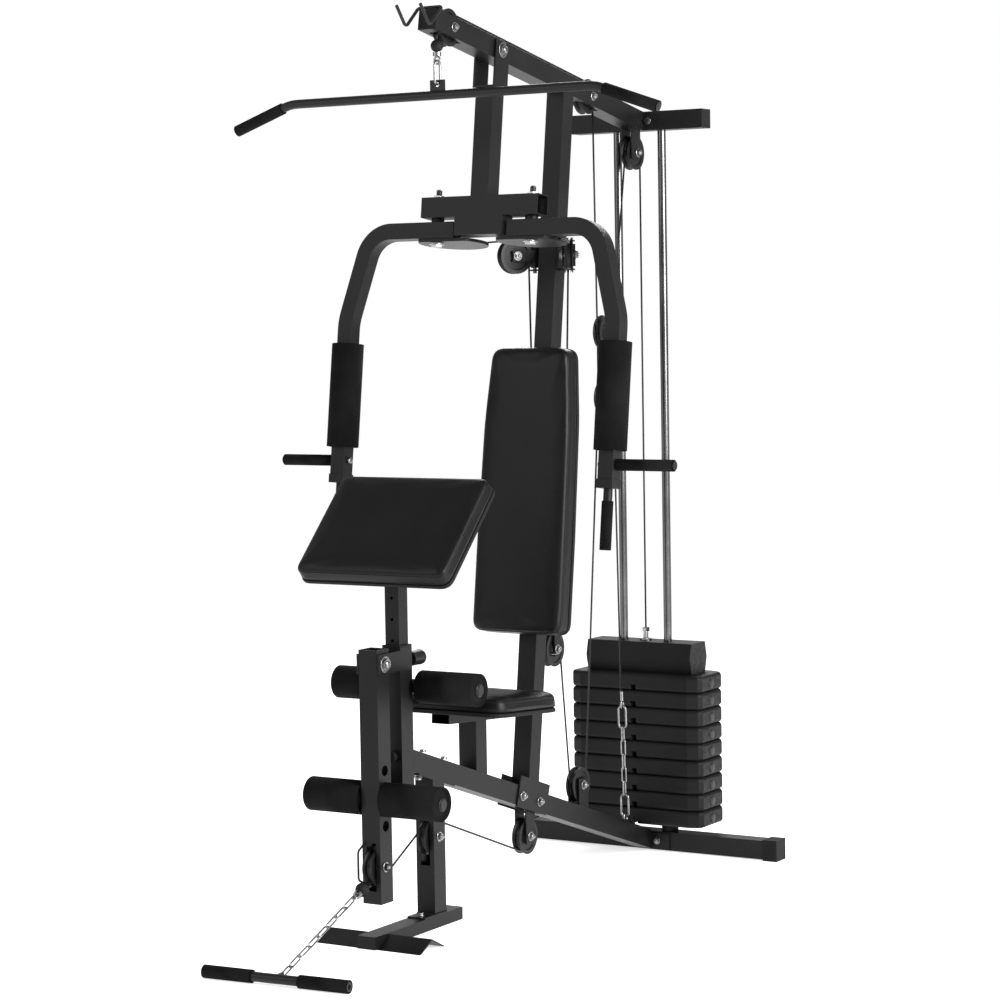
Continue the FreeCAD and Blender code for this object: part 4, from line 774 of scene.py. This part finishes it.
# Fly cable: from the rim of each cam to its swivel pulley, down and together under the hanging pulley
hanger = middle_of("pulley_hanger_upper")
CAM_RADIUS, CAM_GAP = 0.087, 0.0003
CAM_REACH = CAM_RADIUS + CABLE + CAM_GAP
CAM_X, CAM_Y, CAM_HEIGHT = 0.112, -0.292, 1.6066
PIN_X, PIN_Y, SWIVEL_HEIGHT = 0.050, 0.365, 1.600
for side, word in ((-1, "left"), (1, "right")):
    pin = Vector((side * PIN_X, PIN_Y, SWIVEL_HEIGHT))
    pulley = middle_of(f"pulley_{word}_swivel")
    swing = math.atan2(side * (pulley.x - pin.x), pin.y - pulley.y)
    reach = (pulley - pin).xy.length - TURN
    drop = Vector((pin.x + side * reach * math.sin(swing), pin.y - reach * math.cos(swing), 0))
    cam_centre = leaning(side * CAM_X, CAM_Y, CAM_HEIGHT)
    rim_points = []
    for degrees in range(-40, 1, 5):
        angle = swing + math.radians(degrees)
        forth = CAM_REACH * math.sin(angle)
        spoke = Vector((side * CAM_REACH * math.cos(angle), forth, -forth * math.sin(LEAN)))
        rim_points.append(cam_centre + spoke)
    rim = rim_points[-1]
    run = (rim - drop).xy.length
    corner = SWIVEL_HEIGHT
    for _ in range(20):
        corner = SWIVEL_HEIGHT + TURN * (math.hypot(run, rim.z - corner) - (rim.z - corner)) / run
    route = [rim, Vector((drop.x, drop.y, corner)), Vector((side * TURN, hanger.y, hanger.z - TURN)),
             Vector((0, hanger.y, hanger.z - TURN))]
    parts = rounded_route(route, (TURN, TURN - 0.0005))
    strand(f"fly_cable_{word}_rim", rim_points, "fly_cable", (f"{word}_press_arm",))
    strand(f"fly_cable_{word}_1", parts[0], "fly_cable", ("press", "frame"))
    strand(f"fly_cable_{word}_2", parts[1], "fly_cable", (f"{word}_swivel_body",))
    strand(f"fly_cable_{word}_3", parts[2], "fly_cable", ("frame", "hanging_body"))
    strand(f"fly_cable_{word}_4", parts[3] + parts[4][1:], "fly_cable", ("hanging_body",))


# ---------------------------------------------------------------- small fittings
def towards_nut(axis):
    """A bolt's direction from its head to its nut: up, or else to the right, or else to the front."""
    for part in (axis.z, axis.x, -axis.y):
        if abs(part) > 0.5:
            return axis if part > 0 else -axis
    return axis


def bolts_of(node, widest=0.019, shortest=0.018):
    """The bolts among a node's solids: middle, axis, half length and head radius of each."""
    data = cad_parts[node].data
    found = []
    for island in islands(data):
        points = np.array([data.vertices[index].co[:] for index in island])
        directions = np.linalg.eigh(np.cov((points - points.mean(0)).T))[1]
        local = points @ directions
        low, high = local.min(0), local.max(0)
        reach = (high - low)[:2].max() / 2
        if reach < widest and (high - low)[2] > shortest:
            middle = Vector(directions @ ((low + high) / 2))
            found.append((middle, towards_nut(Vector(directions[:, 2])), (high - low)[2] / 2, reach))
    return found


def bolt_dressing(node, body, thread=0.004):
    """A washer under each head and nut, and the end of the thread beyond the nut."""
    made = bmesh.new()
    head, washer, pitch = 0.007, 0.0016, 0.001
    for middle, axis, half_length, reach in bolts_of(node):
        for way in (-1, 1):
            start = middle + axis * way * (half_length - head + washer)
            rim = reach * 1.26
            turned_into(made, [(0, 0), (0, reach * 1.2), (0.0004, rim), (washer, rim), (washer, 0)],
                        start, axis * -way, 28)
        if node == "frame_bolts" and abs(axis.x) < 0.9:
            continue
        core = reach * 0.5
        base = middle + axis * (half_length - 0.001)
        profile = [(0, 0), (0, core)]
        turns = max(2, int(thread / pitch))
        for turn in range(turns):
            crest = 0.001 + turn * pitch
            profile += [(crest, core), (crest + pitch / 2, core * 0.9)]
        tip = 0.0025 + turns * pitch
        profile += [(tip, core * 0.7), (tip, 0)]
        turned_into(made, profile, base, axis, 20)
    piece_of(f"{node}_washers", made, ZINC, body, smooth=False)


def square_loop(centre, half_across, half_up, corner, axes, steps=5):
    """A closed square with rounded corners about a centre, in the plane of two axes."""
    first, second = Vector(axes[0]), Vector(axes[1])
    points = []
    for quarter in range(4):
        turn = math.pi / 2 * quarter
        sign_a = 1 if quarter in (0, 3) else -1
        sign_b = 1 if quarter in (0, 1) else -1
        for step in range(steps + 1):
            angle = turn + math.pi / 2 * step / steps
            a = sign_a * (half_across - corner) + corner * math.cos(angle)
            b = sign_b * (half_up - corner) + corner * math.sin(angle)
            points.append(Vector(centre) + first * a + second * b)
    return points


def cap_ribs(pitch=0.0072, height=0.0282):
    """The ribs round the rubber caps of the rear base tube, whose middle is at a height."""
    low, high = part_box("rear_base_tube")
    cap_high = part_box("caps_and_bumpers")[1]
    middle_y = (low.y + high.y) / 2
    made = bmesh.new()
    for side in (-1, 1):
        for step in range(5):
            spot = (side * (cap_high.x - 0.006 - step * pitch), middle_y, height)
            loop = square_loop(spot, 0.0284, 0.0276, 0.004, ((0, 1, 0), (0, 0, 1)))
            tube_into(made, loop, 0.0009, 6, closed=True)
    piece_of("cap_ribs", made, RUBBER, "frame")


def weld(name, loop, body, bead=0.0021, pitch=0.0028, wander=0.0003):
    """A weld bead: a slightly wandering round seam along a closed line."""
    made = bmesh.new()
    points = []
    for index, point in enumerate(loop):
        after = loop[(index + 1) % len(loop)]
        count = max(1, int((after - point).length / pitch))
        for step in range(count):
            lift = wander if len(points) % 2 else -wander
            points.append(point.lerp(after, step / count) + Vector((0, 0, lift)))
    tube_into(made, points, bead, 8, closed=True)
    piece_of(name, made, PAINT, body)


def knob_ribs(node, body, count=14):
    """Grip ribs along the round knob of a pull pin."""
    low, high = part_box(node)
    reach = (high.z - low.z) / 2 - 0.0004
    centre_x, centre_z = (low.x + high.x) / 2, (low.z + high.z) / 2
    made = bmesh.new()
    for step in range(count):
        angle = math.tau * step / count
        x, z = centre_x + math.cos(angle) * reach, centre_z + math.sin(angle) * reach
        tube_into(made, [Vector((x, high.y - 0.012, z)), Vector((x, high.y - 0.002, z))], 0.0011, 6)
    piece_of(f"{node}_ribs", made, KNOB, body)


bolt_dressing("frame_bolts", "frame")
bolt_dressing("press_frame", "press", thread=0.014)
bolt_dressing("floating_bracket", "floating_body", thread=0.002)
bolt_dressing("hanging_bracket", "hanging_body", thread=0.002)
bolt_dressing("left_swivel", "left_swivel_body", thread=0.002)
bolt_dressing("right_swivel", "right_swivel_body", thread=0.002)
bolt_dressing("leg_lever", "leg_developer", thread=0.002)

# Round nuts on the bolts that stand in the front leg's upper flange
leg_low, leg_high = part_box("front_leg")
flange_bolts = []
for middle, axis, half_length, _ in bolts_of("frame_bolts"):
    near_leg = leg_low.y - 0.05 < middle.y < leg_high.y + 0.05
    if near_leg and middle.z > 0.2 and abs(axis.z) > 0.8:
        flange_bolts.append((middle, axis, half_length))
for index, (middle, axis, half_length) in enumerate(flange_bolts):
    seat = middle + axis * (half_length - 0.001)
    disc(f"flange_nut_{index}", seat, axis, 0.0080, 0.0060, ZINC, "frame")
cap_ribs()
knob_ribs("pop_pin", "pop_pin_body")
knob_ribs("selector_pin", "stack_pin")
leg = middle_of("pulley_leg")
foot_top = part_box("front_foot")[1].z
leg_outline = square_loop((0, leg.y, foot_top + 0.0040), 0.0258, 0.0258, 0.003, ((1, 0, 0), (0, 1, 0)))
weld("leg_weld", leg_outline, "frame")


def plate_bosses(pitch=0.0453, middle=0.0205):
    """A round boss in the middle of both ends of every weight plate; the upper three plates are picked."""
    low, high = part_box("plates_resting")
    centre_y = (low.y + high.y) / 2
    for index in range(9):
        body = "carriage" if index >= 6 else "frame"
        z = low.z + index * pitch + middle
        for side, word in ((-1, "left"), (1, "right")):
            spot = Vector((side * (high.x - 0.0012), centre_y - 0.004, z))
            disc(f"boss_{index}_{word}", spot, (side, 0, 0), 0.0130, 0.0036, BOSS, body)


plate_bosses()


# ---------------------------------------------------------------- floor, light and camera
def light(name, place, target, size, power):
    """A soft square lamp that faces a target."""
    data = bpy.data.lights.new(name, "AREA")
    data.shape = "SQUARE"
    data.size = size
    data.energy = power
    lamp = bpy.data.objects.new(name, data)
    scene.collection.objects.link(lamp)
    lamp.location = place
    lamp.rotation_euler = (Vector(target) - Vector(place)).to_track_quat("-Z", "Y").to_euler()


floor_mesh = bmesh.new()
bmesh.ops.create_grid(floor_mesh, x_segments=1, y_segments=1, size=45)
FLOOR = material("floor", grey(0.90), grey(0.93), 0.7, 60, 0.02, patch=0.6, specular=0.1)
floor_shader = FLOOR.node_tree.nodes["Principled BSDF"]
floor_shader.inputs["Emission Color"].default_value = (1, 1, 1, 1)
floor_shader.inputs["Emission Strength"].default_value = 0.62
floor = piece_of("floor", floor_mesh, FLOOR, smooth=False)
floor.location.z = -0.0002

world = bpy.data.worlds.new("studio")
scene.world = world
world.use_nodes = True
sky = world.node_tree.nodes["Background"]
sky.inputs["Color"].default_value = (1.0, 1.0, 1.0, 1)
# The camera sees the sky at full strength, and the machine is lit by less of it
path = world.node_tree.nodes.new("ShaderNodeLightPath")
strength = world.node_tree.nodes.new("ShaderNodeMapRange")
strength.inputs["To Min"].default_value = 0.42
strength.inputs["To Max"].default_value = 1.0
world.node_tree.links.new(path.outputs["Is Camera Ray"], strength.inputs["Value"])
world.node_tree.links.new(strength.outputs["Result"], sky.inputs["Strength"])
scene.view_settings.view_transform = "Standard"
centre = (cad_box[0] + cad_box[1]) / 2
light("key", (4.4, -0.6, 2.4), centre, 2.6, 350)
light("fill", (-2.8, -4.6, 3.4), centre, 3.0, 60)
light("rim", (-1.5, 4.0, 3.6), centre, 2.4, 120)

CAMERA_PLACE = Vector((3.5957, -5.8069, 1.4583))
AZIMUTH, PITCH, ROLL = math.radians(31.357), math.radians(-3.824), math.radians(-0.947)
forward = Vector((-math.sin(AZIMUTH) * math.cos(PITCH), math.cos(AZIMUTH) * math.cos(PITCH), math.sin(PITCH)))
level_right = Vector((math.cos(AZIMUTH), math.sin(AZIMUTH), 0))
level_up = level_right.cross(forward)
right = level_right * math.cos(ROLL) + level_up * math.sin(ROLL)
up = level_up * math.cos(ROLL) - level_right * math.sin(ROLL)
lens = bpy.data.cameras.new("camera")
lens.lens = 101.0
lens.sensor_width = 36.0
lens.clip_end = 60
camera = bpy.data.objects.new("camera", lens)
scene.collection.objects.link(camera)
camera.matrix_world = frame_of(CAMERA_PLACE, right, up, -forward)
scene.camera = camera
